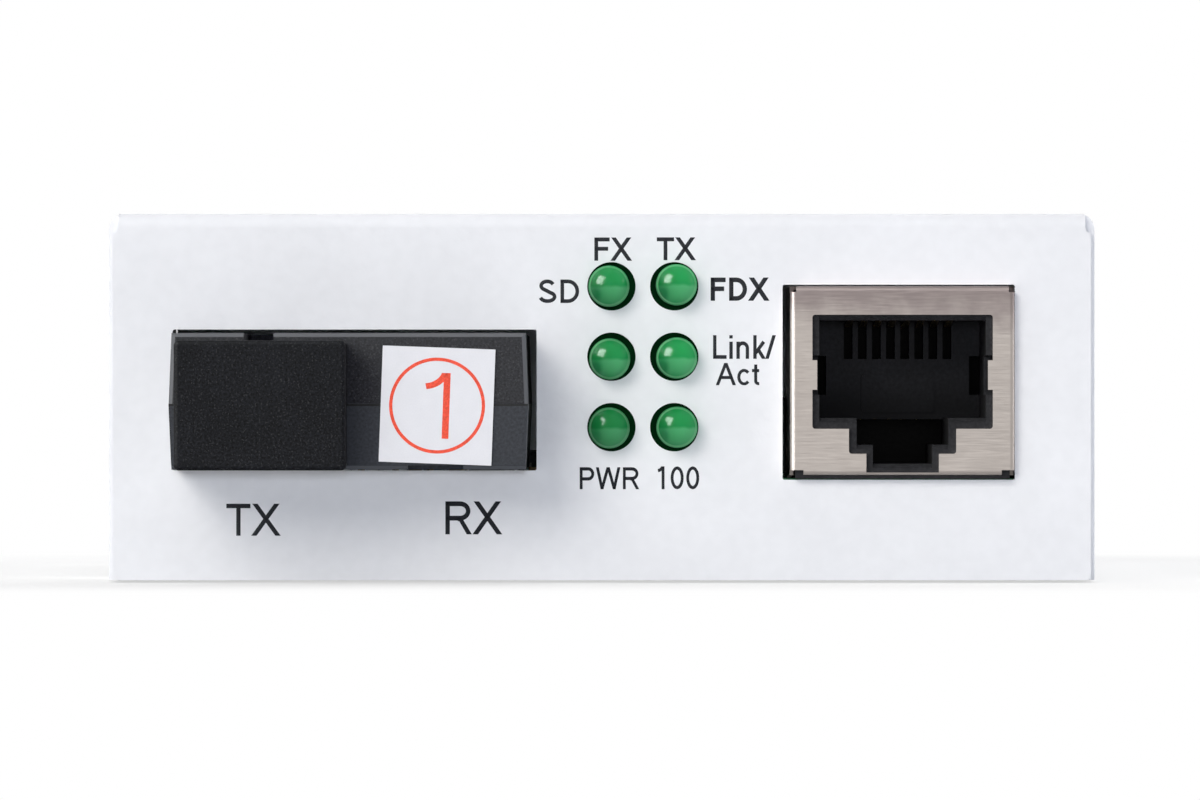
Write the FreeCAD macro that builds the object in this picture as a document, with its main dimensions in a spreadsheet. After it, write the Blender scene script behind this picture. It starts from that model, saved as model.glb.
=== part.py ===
import FreeCAD, Part
import Sketcher
import os
import re

# Fibre media converter in a folded steel case, in millimetres.
# X runs across the front, +Y to the rear, +Z up; the front panel faces -Y.
# The origin is the middle of the underside.

document = FreeCAD.newDocument("FibreMediaConverter")
sheet = document.addObject("Spreadsheet::Sheet", "dims")

dimensions = {
    # Case
    "case_half_x": 35.0,
    "case_half_y": 47.0,
    "case_height": 26.0,
    "sheet_thick": 0.8,
    "side_bend_radius": 1.1,
    "inner_bend_radius": 0.3,
    "front_bend_radius": 0.98,
    "front_bend_run": 1.0,
    "flange_inset": 0.3,
    "flange_corner_radius": 0.35,
    "corner_relief_side": 0.7,
    "corner_relief_drop": 1.05,
    "corner_relief_radius": 0.3,
    "relief_shift": 0.32,
    "opening_corner_radius": 0.15,
    "tool_overrun": 0.1,
    "vent_half_y": 0.75,
    "vent_half_z": 4.5,
    "vent_middle_z": 15.5,
    "vent_first_y": -14.0,
    "vent_pitch": 4.0,
    "vent_count": 8,
    # Clearance between the tray and the cover that slides over it
    "case_play": 0.1,
    "tray_bend_radius": 1.2,
    "tray_inner_radius": 0.4,
    # Cover screws, countersunk M3 in dimples, on tabs lanced from the tray
    "dimple_radius": 3.5,
    "dimple_depth": 1.1,
    "screw_inset": 19.0,
    "screw_z": 3.6,
    "screw_radius": 1.5,
    "screw_hole_radius": 1.7,
    "thread_play": 0.02,
    "sink_radius": 2.95,
    "sink_play": 0.05,
    "cover_screw_length": 5.0,
    "tab_half_y": 4.5,
    "tab_height": 8.5,
    "tab_relief": 0.5,
    "recess_half_long": 1.5,
    "recess_half_thin": 0.3,
    "recess_depth": 1.0,
    # Main board and its fixings
    "standoff_height": 4.8,
    "board_thick": 1.6,
    "board_side_gap": 0.4,
    "board_front_gap": 0.6,
    "board_back_gap": 0.8,
    "fixing_hole_radius": 1.65,
    "standoff_radius": 2.75,
    "rivet_radius": 2.0,
    "rivet_play": 0.02,
    "rivet_inset": 0.1,
    "standoff_bore_bottom": 1.6,
    "board_screw_length": 5.0,
    "pan_radius": 2.7,
    "pan_height": 1.9,
    "pan_edge_radius": 0.7,
    "fixing_inset": 3.4,
    "fixing_back_inset": 7.4,
    "fixing_run_left": 35.6,
    "fixing_run_right": 21.6,
    "fixing_lead_gap": 4.4,
    "fixing_jack_gap": 3.46,
    "lead_proud": 0.9,
    # One-by-nine transceiver
    "module_from_side": 17.245,
    "module_reach": 9.0,
    "module_length": 39.6,
    "module_side_margin": 1.04,
    "module_draft": 0.2,
    "module_standoff": 0.7,
    "module_lower_height": 4.6,
    "module_upper_height": 4.97,
    "module_wall": 1.2,
    "module_edge_chamfer": 0.3,
    "module_seam_break": 0.05,
    "opening_gap_left": 0.1,
    "opening_gap_right": 0.525,
    "opening_gap_below": 0.12,
    "opening_gap_above": 0.31,
    "port_x": -6.295,
    "port_drop": 0.1,
    "port_half_x": 4.5,
    "port_half_z": 3.7,
    "port_depth": 14.0,
    "key_half": 1.05,
    "key_depth": 13.5,
    "web_thick": 1.5,
    "foot_radius": 1.3,
    "foot_x": 9.6,
    "foot_run_front": 18.0,
    "foot_run_back": 6.6,
    "post_radius": 0.95,
    "post_hole_radius": 1.1,
    "post_x": 10.16,
    "post_inset": 2.0,
    "pin_pitch": 2.54,
    "pin_count": 9,
    "pin_half": 0.25,
    "pin_run": 2.2,
    "pin_hole_radius": 0.45,
    "pin_slot_half_y": 0.75,
    "ejector_x": 6.1,
    "ejector_half": 1.95,
    "ejector_height": 0.3,
    "ejector_depth": 1.5,
    # Inner latch piece, ferrule sleeve and optics
    "latch_tube_radius": 2.2,
    "latch_tube_inset": 6.0,
    "latch_tube_tail": 1.7,
    "sleeve_play": 0.02,
    "latch_play": 0.05,
    "latch_flange_radius": 3.55,
    "latch_rear_radius": 3.2,
    "latch_arm_inner": 3.0,
    "latch_arm_outer": 3.4,
    "latch_arm_half_z": 1.5,
    "latch_arm_lead": 1.0,
    "latch_hook_inner": 2.6,
    "latch_hook_length": 0.9,
    "sleeve_outer_radius": 1.55,
    "sleeve_bore_radius": 1.25,
    "sleeve_inset": 0.5,
    "optic_barrel_radius": 3.0,
    "optic_flange_radius": 3.2,
    "optic_flange_thick": 1.2,
    "optic_length": 11.4,
    "optic_can_radius": 2.6,
    "optic_can_inset": 4.6,
    "optic_can_end": 9.0,
    "optic_step": 0.4,
    "module_board_rise": 3.1,
    "module_board_thick": 1.0,
    "module_board_play": 0.08,
    "module_board_gap": 0.6,
    "module_board_back_gap": 0.3,
    # Sticker on the blank half of the transceiver
    "sticker_from_middle": 6.215,
    "sticker_drop": 0.11,
    "sticker_half_x": 3.95,
    "sticker_half_z": 4.07,
    "sticker_thick": 0.1,
    "sticker_tilt": 2.1,
    # Dust cap
    "cap_gap": 0.25,
    "cap_thick": 2.75,
    "cap_face_thick": 1.4,
    "cap_half_x": 6.0,
    "cap_shift": 0.18,
    "cap_half_z": 4.54,
    "cap_edge_radius": 0.3,
    "cap_side_radius": 0.35,
    "plug_play": 0.3,
    "plug_wall_x": 0.5,
    "plug_wall_z": 0.7,
    "plug_reach": 8.4,
    "plug_lead_chamfer": 0.3,
    # Network jack: shield, window and socket
    "jack_from_side": 13.69,
    "jack_half_x": 7.95,
    "jack_reach": 1.0,
    "jack_depth": 17.8,
    "jack_standoff": 0.23,
    "jack_height": 13.42,
    "jack_sheet": 0.25,
    "jack_bend_radius": 0.35,
    "jack_notch_top": 0.42,
    "jack_notch_bottom_x": 0.93,
    "jack_notch_bottom_z": 0.38,
    "jack_notch_depth": 2.5,
    "jack_gap_left": 0.54,
    "jack_gap_right": 0.04,
    "jack_gap_below": 0.31,
    "jack_gap_above": 0.11,
    "window_half_x": 6.39,
    "window_header": 2.03,
    "window_height": 8.08,
    "window_tab_rise": 2.76,
    "window_tab_height": 2.1,
    "window_tab_reach": 0.34,
    "window_step_half": 3.8,
    "window_step_drop": 1.77,
    "window_latch_half": 2.57,
    "window_latch_drop": 1.33,
    "window_corner_radius": 0.2,
    "lip_side": 0.49,
    "lip_step": 0.55,
    "lip_latch": 0.47,
    "lip_above": 0.39,
    "lip_below": 0.76,
    "lip_step_below": 0.63,
    "lip_latch_below": 0.61,
    "socket_lead_in": 0.3,
    "socket_depth": 11.7,
    "side_recess_half": 6.6,
    "side_recess_margin": 0.35,
    "side_recess_depth": 4.0,
    "latch_end_wall": 0.6,
    "housing_play": 0.1,
    "housing_face_gap": 0.05,
    "housing_length": 14.7,
    "housing_rear_half": 6.2,
    "housing_rear_gap": 0.15,
    "carrier_play": 0.05,
    "carrier_depth": 3.5,
    "carrier_seat_gap": 0.02,
    "carrier_pocket_width": 0.75,
    "carrier_pocket_depth": 3.0,
    "carrier_drop": 0.1,
    "carrier_header": 0.27,
    "comb_pitch": 1.016,
    "comb_count": 8,
    "comb_half": 0.315,
    "comb_height": 2.7,
    "comb_depth": 2.8,
    "channel_height": 0.82,
    "channel_inset": 1.1,
    "plain_pad_half_x": 2.6,
    "plain_pad_rise": 0.4,
    "plain_pad_height": 2.7,
    "plain_pad_thick": 0.25,
    "plain_pad_radius": 0.3,
    "contact_half": 0.2,
    "contact_thick": 0.28,
    "contact_roof_gap": 0.15,
    "contact_turn_run": 3.7,
    "contact_fold": 0.5,
    "contact_fold_slack": 0.168,
    "contact_tip_run": 0.8,
    "contact_flat_run": 1.0,
    "contact_low_rise": 2.55,
    "contact_tail_run": 0.9,
    "contact_hole_radius": 0.4,
    "housing_peg_radius": 1.55,
    "housing_peg_play": 0.1,
    "housing_peg_x": 5.72,
    "housing_peg_run": 7.2,
    "shield_leg_half": 0.6,
    "shield_leg_run": 11.0,
    "shield_leg_hole": 0.8,
    # Lamps, each with its small seating error
    "lamp_pair_step": 4.46,
    "lamp_pair_shift": 1.185,
    "lamp_row_shift": 0.35,
    "lamp_row_pitch": 5.0,
    "lamp_hole_play": 0.26,
    "lamp_shift_x_1": -0.18,
    "lamp_shift_z_1": 0.0,
    "lamp_shift_x_2": 0.15,
    "lamp_shift_z_2": 0.1,
    "lamp_shift_x_3": -0.12,
    "lamp_shift_z_3": -0.16,
    "lamp_shift_x_4": 0.16,
    "lamp_shift_z_4": -0.09,
    "lamp_shift_x_5": -0.16,
    "lamp_shift_z_5": -0.05,
    "lamp_shift_x_6": 0.18,
    "lamp_shift_z_6": 0.0,
    "lamp_count": 6,
    "lens_radius": 1.46,
    "lens_reach": 2.3,
    "lens_flat": 0.04,
    "lens_rim_radius": 1.9,
    "lens_panel_gap": 1.2,
    "lens_rim_thick": 1.0,
    "lead_pitch_half": 1.27,
    "lead_half": 0.25,
    "lead_row_step": 2.5,
    "lead_run": 8.0,
    # Power inlet at the rear
    "inlet_from_side": 15.0,
    "inlet_half_x": 4.5,
    "inlet_drop": 6.5,
    "inlet_rise": 4.5,
    "inlet_length": 14.2,
    "inlet_top_chamfer": 1.2,
    "inlet_bore_radius": 3.15,
    "inlet_back_thick": 4.7,
    "inlet_panel_play": 0.85,
    "inlet_pin_radius": 1.0,
    "inlet_pin_length": 8.5,
    "inlet_pin_tip": 0.4,
    "inlet_spring_half": 0.8,
    "inlet_spring_low": 3.02,
    "inlet_spring_high": 2.75,
    "inlet_spring_inset": 1.3,
    "inlet_spring_length": 7.0,
    "terminal_half_x": 0.9,
    "terminal_thick": 0.4,
    "terminal_rise": 4.0,
    "terminal_mid_run": 6.0,
    "terminal_side_run": 3.0,
    "terminal_side_x": 3.3,
    "terminal_hole_radius": 1.1,
    # Parts on the board
    "chip_x": -3.0,
    "chip_y": 6.0,
    "chip_half": 7.0,
    "chip_height": 1.5,
    "chip_rise": 0.15,
    "chip_edge": 0.25,
    "chip_leg_pitch": 1.0,
    "chip_leg_count": 12,
    "chip_leg_half": 0.2,
    "chip_leg_out": 1.0,
    "leg_thick": 0.2,
    "leg_exit": 0.8,
    "transformer_side_step": 4.31,
    "transformer_run": 11.7,
    "transformer_half_x": 6.35,
    "transformer_half_y": 3.5,
    "transformer_height": 5.6,
    "transformer_rise": 0.2,
    "transformer_edge": 0.3,
    "transformer_leg_pitch": 1.27,
    "transformer_leg_count": 8,
    "transformer_leg_half": 0.22,
    "transformer_leg_out": 1.3,
    "transformer_leg_exit": 2.2,
    "crystal_x": -20.0,
    "crystal_y": 8.0,
    "crystal_half_x": 5.6,
    "crystal_half_y": 2.3,
    "crystal_height": 3.4,
    "crystal_rim": 0.4,
    "crystal_rim_height": 0.5,
    "crystal_flat": 0.05,
    "capacitor_radius": 3.15,
    "capacitor_height": 7.6,
    "capacitor_base_half": 3.3,
    "capacitor_base_height": 1.2,
    "capacitor_neck": 0.25,
    "capacitor_bead_rise": 0.9,
    "capacitor_edge": 0.4,
    "capacitor_inlet_gap": 10.0,
    "capacitor_pitch": 8.0,
    "capacitor_run": 4.0,
    "capacitor_side_step": 5.0,
    "capacitor_back_step": 26.5,
    "regulator_gap": 10.0,
    "regulator_run": 2.0,
    "regulator_half_x": 3.25,
    "regulator_half_y": 1.75,
    "regulator_height": 1.6,
    "regulator_leg_pitch": 2.3,
    "regulator_leg_count": 3,
    "regulator_leg_half": 0.35,
    "regulator_leg_out": 1.5,
    "regulator_tab_half": 1.5,
    "inductor_run": 8.0,
    "inductor_half": 3.6,
    "inductor_height": 3.6,
    "inductor_corner": 1.2,
    "inductor_core_radius": 2.7,
    "inductor_core_inset": 0.4,
    "inductor_core_play": 0.02,
    "passive_half_x": 0.8,
    "passive_half_y": 0.42,
    "passive_height": 0.55,
    "passive_cap": 0.3,
    "passive_pitch": 3.0,
    "passive_count": 6,
    "passive_row_x": -14.0,
    "passive_row_1": 18.0,
    "passive_row_2": -6.0,
}

# Places and fits worked out from the sizes. They stay expressions, so every feature follows a change.
places = {
    "front_y": "0 - case_half_y",
    "flange_back": "front_y + sheet_thick",
    "shell_start": "front_y + front_bend_run",
    "inner_half_x": "case_half_x - sheet_thick",
    "inner_top": "case_height - sheet_thick",
    "flange_half_x": "case_half_x - flange_inset",
    "corner_relief_x": "case_half_x - corner_relief_side",
    "corner_relief_z": "case_height - corner_relief_drop",
    "tab_outer": "inner_half_x - dimple_depth",
    "tab_inner": "tab_outer - sheet_thick",
    "tray_half_x": "inner_half_x - case_play",
    "panel_inner": "case_half_y - sheet_thick",
    "screw_face": "case_half_x - sink_play",
    "screw_y": "case_half_y - screw_inset",
    "board_bottom": "sheet_thick + standoff_height",
    "board_top": "board_bottom + board_thick",
    "board_half_x": "tab_inner - board_side_gap",
    "board_front": "flange_back + board_front_gap",
    "board_back": "panel_inner - board_back_gap",
    "lead_end": "board_bottom - lead_proud",
    "fixing_x_1": "fixing_inset - board_half_x",
    "fixing_y_1": "board_front + fixing_run_left",
    "fixing_x_2": "board_half_x - fixing_inset",
    "fixing_y_2": "board_front + fixing_run_right",
    "fixing_x_3": "jack_x - jack_half_x - fixing_jack_gap",
    "fixing_y_3": "lead_top_y + fixing_lead_gap",
    "fixing_x_4": "fixing_inset - board_half_x",
    "fixing_y_4": "board_back - fixing_back_inset",
    "fixing_x_5": "board_half_x - fixing_inset",
    "fixing_y_5": "board_back - fixing_back_inset",
    "module_x": "module_from_side - case_half_x",
    "module_front": "front_y - module_reach",
    "module_back": "module_front + module_length",
    "module_inner_half": "pin_pitch * (pin_count - 1) / 2 + module_side_margin",
    "module_half_edge": "module_inner_half + module_wall",
    "module_half_seam": "module_half_edge + module_draft",
    "module_bottom": "board_top + module_standoff",
    "module_seam": "module_bottom + module_lower_height",
    "module_top": "module_seam + module_upper_height",
    "fibre_opening_left": "module_x - module_half_seam - opening_gap_left",
    "fibre_opening_right": "module_x + module_half_seam + opening_gap_right",
    "fibre_opening_bottom": "module_bottom - opening_gap_below",
    "fibre_opening_top": "module_top + opening_gap_above",
    "port_z": "module_seam - port_drop",
    "web_front": "module_front + port_depth",
    "web_back": "web_front + web_thick",
    "web_bore_radius": "latch_flange_radius + latch_play",
    "foot_y_front": "module_front + foot_run_front",
    "foot_y_back": "module_back - foot_run_back",
    "post_y": "board_front + post_inset",
    "pin_y": "module_back - pin_run",
    "latch_tube_front": "module_front + latch_tube_inset",
    "latch_tube_back": "web_back + latch_tube_tail",
    "latch_bore_radius": "sleeve_outer_radius + sleeve_play",
    "latch_arm_front": "latch_tube_front - latch_arm_lead",
    "sleeve_front": "latch_tube_front + sleeve_inset",
    "optic_back": "latch_tube_back + optic_length",
    "optic_can_y": "optic_back - optic_can_inset",
    "module_board_bottom": "module_bottom + module_board_rise",
    "module_board_half_x": "module_inner_half - module_board_play",
    "module_board_front": "optic_back + module_board_gap",
    "module_board_back": "module_back - module_wall - module_board_back_gap",
    "sticker_x": "module_x + sticker_from_middle",
    "sticker_z": "module_seam - sticker_drop",
    "head_back": "module_front - cap_gap",
    "cap_front": "head_back - cap_thick",
    "plug_half_x": "port_half_x - plug_play",
    "plug_half_z": "port_half_z - plug_play",
    "plug_back": "module_front + plug_reach",
    "plug_hollow_front": "cap_front + cap_face_thick",
    "jack_x": "case_half_x - jack_from_side",
    "jack_front": "front_y - jack_reach",
    "jack_back": "jack_front + jack_depth",
    "jack_bottom": "board_top + jack_standoff",
    "jack_top": "jack_bottom + jack_height",
    "jack_inner_half": "jack_half_x - jack_sheet",
    "jack_opening_left": "jack_x - jack_half_x - jack_gap_left",
    "jack_opening_right": "jack_x + jack_half_x + jack_gap_right",
    "jack_opening_bottom": "jack_bottom - jack_gap_below",
    "jack_opening_top": "jack_top + jack_gap_above",
    "window_top": "jack_top - window_header",
    "window_bottom": "window_top - window_height",
    "window_tab_bottom": "window_bottom + window_tab_rise",
    "window_tab_top": "window_tab_bottom + window_tab_height",
    "window_step_bottom": "window_bottom - window_step_drop",
    "window_latch_bottom": "window_step_bottom - window_latch_drop",
    "socket_half_x": "window_half_x - lip_side",
    "socket_step_half": "window_step_half - lip_step",
    "socket_latch_half": "window_latch_half - lip_latch",
    "socket_top": "window_top - lip_above",
    "socket_bottom": "window_bottom + lip_below",
    "socket_step_bottom": "window_step_bottom + lip_step_below",
    "socket_latch_bottom": "window_latch_bottom + lip_latch_below",
    "socket_back": "housing_front + socket_depth",
    "housing_half_x": "jack_inner_half - housing_play",
    "housing_front": "jack_front + jack_sheet + housing_face_gap",
    "housing_back": "housing_front + housing_length",
    "housing_bottom": "board_top",
    "housing_top": "jack_top - jack_sheet - housing_play",
    "housing_rear_top": "channel_top + housing_rear_gap",
    "channel_top": "socket_top + channel_height",
    "channel_front": "housing_front + channel_inset",
    "carrier_half_x": "housing_rear_half - carrier_play",
    "carrier_back": "socket_back + carrier_depth",
    "carrier_bottom": "socket_bottom - carrier_drop",
    "carrier_seat": "carrier_bottom - carrier_seat_gap",
    "latch_end": "housing_back - latch_end_wall",
    "carrier_top": "socket_top + carrier_header",
    "comb_bottom": "socket_top - comb_height",
    "plain_pad_bottom": "socket_bottom + plain_pad_rise",
    "plain_pad_top": "plain_pad_bottom + plain_pad_height",
    "contact_roof": "channel_top - contact_roof_gap",
    "contact_turn_y": "housing_front + contact_turn_run",
    "contact_tip_y": "socket_back + contact_tip_run",
    "contact_low_y": "socket_back - contact_flat_run",
    "contact_low_z": "comb_bottom + contact_low_rise",
    "contact_tail_y": "carrier_back + contact_tail_run",
    "housing_peg_hole": "housing_peg_radius + housing_peg_play",
    "housing_peg_y": "housing_front + housing_peg_run",
    "shield_leg_y": "jack_front + shield_leg_run",
    "lamp_hole_radius": "lens_radius + lamp_hole_play",
    "lamp_pair_middle": "(fibre_opening_right + jack_opening_left) / 2 - lamp_pair_shift",
    "lamp_column_left": "lamp_pair_middle - lamp_pair_step / 2",
    "lamp_column_right": "lamp_pair_middle + lamp_pair_step / 2",
    "lamp_row_middle": "(board_top + inner_top) / 2 - lamp_row_shift",
    "lamp_row_top": "lamp_row_middle + lamp_row_pitch",
    "lens_front": "front_y - lens_reach",
    "lens_dome_radius": "lens_radius - lens_flat",
    "lens_rim_front": "flange_back + lens_panel_gap",
    "lens_rim_back": "lens_rim_front + lens_rim_thick",
    "lead_top_y": "board_front + lead_run",
    "inlet_x": "case_half_x - inlet_from_side",
    "inlet_z": "board_top + inlet_drop",
    "inlet_front": "panel_inner - inlet_length",
    "inlet_bore_bottom": "inlet_front + inlet_back_thick",
    "inlet_panel_radius": "inlet_bore_radius + inlet_panel_play",
    "inlet_pin_end": "inlet_bore_bottom + inlet_pin_length",
    "inlet_spring_start": "inlet_bore_bottom + inlet_spring_inset",
    "inlet_spring_end": "inlet_spring_start + inlet_spring_length",
    "terminal_mid_y": "inlet_front + terminal_mid_run",
    "terminal_side_y": "inlet_front + terminal_side_run",
    "transformer_x": "jack_x - transformer_side_step",
    "transformer_y": "jack_back + transformer_run",
    "capacitor_x_1": "inlet_x - capacitor_inlet_gap",
    "capacitor_y_1": "inlet_front + capacitor_run",
    "capacitor_x_2": "capacitor_x_1 - capacitor_pitch",
    "capacitor_y_2": "inlet_front + capacitor_run",
    "capacitor_x_3": "transformer_x + capacitor_side_step",
    "capacitor_y_3": "transformer_y + capacitor_back_step",
    "regulator_x": "capacitor_x_2 - regulator_gap",
    "regulator_y": "inlet_front + regulator_run",
    "inductor_x": "inlet_x - capacitor_inlet_gap",
    "inductor_y": "inlet_front - inductor_run",
}

for row, (name, number) in enumerate(dimensions.items(), 1):
    sheet.set(f"A{row}", name)
    sheet.set(f"B{row}", str(number))
    sheet.setAlias(f"B{row}", name)
document.recompute()

sub_parts = []


def linked(text):
    """Spell an expression out in the sheet's own names."""
    def spell(word):
        name = word.group()
        return f"({linked(places[name])})" if name in places else "dims." + name
    return re.sub(r"[a-z]\w*", spell, text)


def amount(text):
    return float(sheet.evalExpression(linked(text)))


def origin_part(body, role):
    return next(part for part in body.Origin.OriginFeatures if part.Role == role)


def new_body(label, x="", y="", z=""):
    """Start a sub-part whose own origin sits at the given place."""
    body = document.addObject("PartDesign::Body", label)
    body.Label = label
    for axis, text in zip("xyz", (x, y, z)):
        if text:
            body.setExpression("Placement.Base." + axis, linked(text))
    sub_parts.append(body)
    return body


def fix(made, geometry, point, kind, text):
    """Hold one coordinate or radius of a sketch to an expression."""
    if point:
        rule = Sketcher.Constraint(kind, geometry, point, amount(text))
    else:
        rule = Sketcher.Constraint(kind, geometry, amount(text))
    number = made.addConstraint(rule)
    made.setExpression(f"Constraints[{number}]", linked(text))


def polygon(*corners):
    """Closed outline through corners given as pairs of expressions."""
    def draw(made):
        first = made.GeometryCount
        places = [FreeCAD.Vector(amount(a), amount(b), 0) for a, b in corners]
        for start, end in zip(places, places[1:] + places[:1]):
            made.addGeometry(Part.LineSegment(start, end), False)
        for number, (a, b) in enumerate(corners):
            follower = first + (number + 1) % len(corners)
            made.addConstraint(Sketcher.Constraint("Coincident", first + number, 2, follower, 1))
            fix(made, first + number, 1, "DistanceX", a)
            fix(made, first + number, 1, "DistanceY", b)
    return draw


def rectangle(left, right, low, high):
    return polygon((left, low), (right, low), (right, high), (left, high))


def centred(a, b, half_a, half_b):
    """Rectangle about a centre."""
    return rectangle(f"{a} - {half_a}", f"{a} + {half_a}", f"{b} - {half_b}", f"{b} + {half_b}")


def circle(a, b, radius):
    def draw(made):
        number = made.GeometryCount
        centre = FreeCAD.Vector(amount(a), amount(b), 0)
        made.addGeometry(Part.Circle(centre, FreeCAD.Vector(0, 0, 1), amount(radius)), False)
        fix(made, number, 3, "DistanceX", a)
        fix(made, number, 3, "DistanceY", b)
        fix(made, number, 0, "Radius", radius)
    return draw


def cross(a, b):
    """Driver recess outline, a plus shape."""
    far = "recess_half_long"
    near = "recess_half_thin"
    turns = [(far, near), (near, near), (near, far)]
    steps = []
    for swap, (sign_a, sign_b) in enumerate(((1, 1), (-1, 1), (-1, -1), (1, -1))):
        for u, v in turns if swap % 2 == 0 else reversed(turns):
            steps.append((f"{a} + {sign_a} * {u}", f"{b} + {sign_b} * {v}"))
    return polygon(*steps)


def sketch(body, plane, offset, outlines):
    made = body.newObject("Sketcher::SketchObject", body.Label + "_outline")
    made.AttachmentSupport = [(origin_part(body, plane + "_Plane"), "")]
    made.MapMode = "FlatFace"
    for axis, text in zip("xyz", offset):
        if text:
            made.setExpression("AttachmentOffset.Base." + axis, linked(text))
    for outline in outlines:
        outline(made)
    return made


def pad(body, plane, start, end, *outlines):
    """Material between two levels along the plane's own axis."""
    level = f"0 - ({end})" if plane == "XZ" else start
    made = body.newObject("PartDesign::Pad", body.Label + "_pad")
    made.Profile = sketch(body, plane, ("", "", level), outlines)
    made.setExpression("Length", linked(f"({end}) - ({start})"))
    document.recompute()
    return made


def cut(body, plane, start, end, *outlines):
    """Remove material between two levels and confirm that some went."""
    level = f"0 - ({start})" if plane == "XZ" else end
    before = body.Shape.Volume
    made = body.newObject("PartDesign::Pocket", body.Label + "_cut")
    made.Profile = sketch(body, plane, ("", "", level), outlines)
    made.setExpression("Length", linked(f"({end}) - ({start})"))
    document.recompute()
    if body.Shape.Volume >= before:
        raise ValueError(f"{body.Label}: a cut removed nothing")
    return made


def turned(body, axis, centre, points, removing=False):
    """Revolve (radius, distance along the axis) points about a line parallel to an axis."""
    a, b = centre
    plane, offset, line = {
        "X": ("XY", ("", a, b), "H_Axis"),
        "Y": ("XY", (a, "", b), "V_Axis"),
        "Z": ("XZ", (a, "", f"0 - ({b})"), "V_Axis"),
    }[axis]
    corners = [(far, radius) if axis == "X" else (radius, far) for radius, far in points]
    kind = "Groove" if removing else "Revolution"
    before = body.Shape.Volume if removing else 0
    made = body.newObject("PartDesign::" + kind, body.Label + "_turn")
    profile = sketch(body, plane, offset, [polygon(*corners)])
    made.Profile = profile
    made.ReferenceAxis = (profile, [line])
    made.Angle = 360
    document.recompute()
    if removing and body.Shape.Volume >= before:
        raise ValueError(f"{body.Label}: a groove removed nothing")
    return made


def repeated(body, originals, axis, pitch, count):
    made = body.newObject("PartDesign::LinearPattern", body.Label + "_row")
    made.Originals = originals
    made.Direction = (origin_part(body, axis + "_Axis"), [""])
    made.setExpression("Length", linked(f"{pitch} * ({count} - 1)"))
    made.setExpression("Occurrences", linked(count))
    body.Tip = made
    document.recompute()
    return made


def mirrored(body, originals, plane):
    made = body.newObject("PartDesign::Mirrored", body.Label + "_mirror")
    made.Originals = originals
    made.MirrorPlane = (origin_part(body, plane + "_Plane"), [""])
    body.Tip = made
    document.recompute()
    return made


def soften(body, kind, size, spared="", **levels):
    """Round or chamfer the edges that lie at the given levels, sparing those at one height."""
    base = body.Tip
    tolerance = 1e-4
    wanted = {axis.upper(): [amount(text) for text in texts] for axis, texts in levels.items()}
    names = []
    for number, edge in enumerate(base.Shape.Edges, 1):
        box = edge.BoundBox
        spans = {axis: (getattr(box, axis + "Min"), getattr(box, axis + "Max")) for axis in wanted}
        if spared and abs(box.ZMax - amount(spared)) < tolerance:
            continue
        if all(
            any(abs(spans[axis][0] - level) < tolerance and abs(spans[axis][1] - level) < tolerance
                for level in found)
            for axis, found in wanted.items()
        ):
            names.append(f"Edge{number}")
    if not names:
        raise ValueError(f"{body.Label}: no edge to soften at {levels}")
    made = body.newObject("PartDesign::" + kind, body.Label + "_edge")
    made.Base = (base, names)
    made.setExpression("Radius" if kind == "Fillet" else "Size", linked(size))
    document.recompute()
    return made


def lamp_places():
    """Number, row, column, height and seating error of each lamp, the left one of a row first."""
    found = []
    for number in range(1, round(amount("lamp_count")) + 1):
        column = "lamp_column_left" if number % 2 else "lamp_column_right"
        row = (number - 1) // 2
        height = f"lamp_row_top - lamp_row_pitch * {row}"
        found.append((number, row, column, height, f"lamp_shift_x_{number}", f"lamp_shift_z_{number}"))
    return found


def spots(kind):
    """The x and y of each numbered place of one kind."""
    return [(name, name.replace("_x_", "_y_")) for name in places if name.startswith(kind + "_x_")]


# Case

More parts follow.
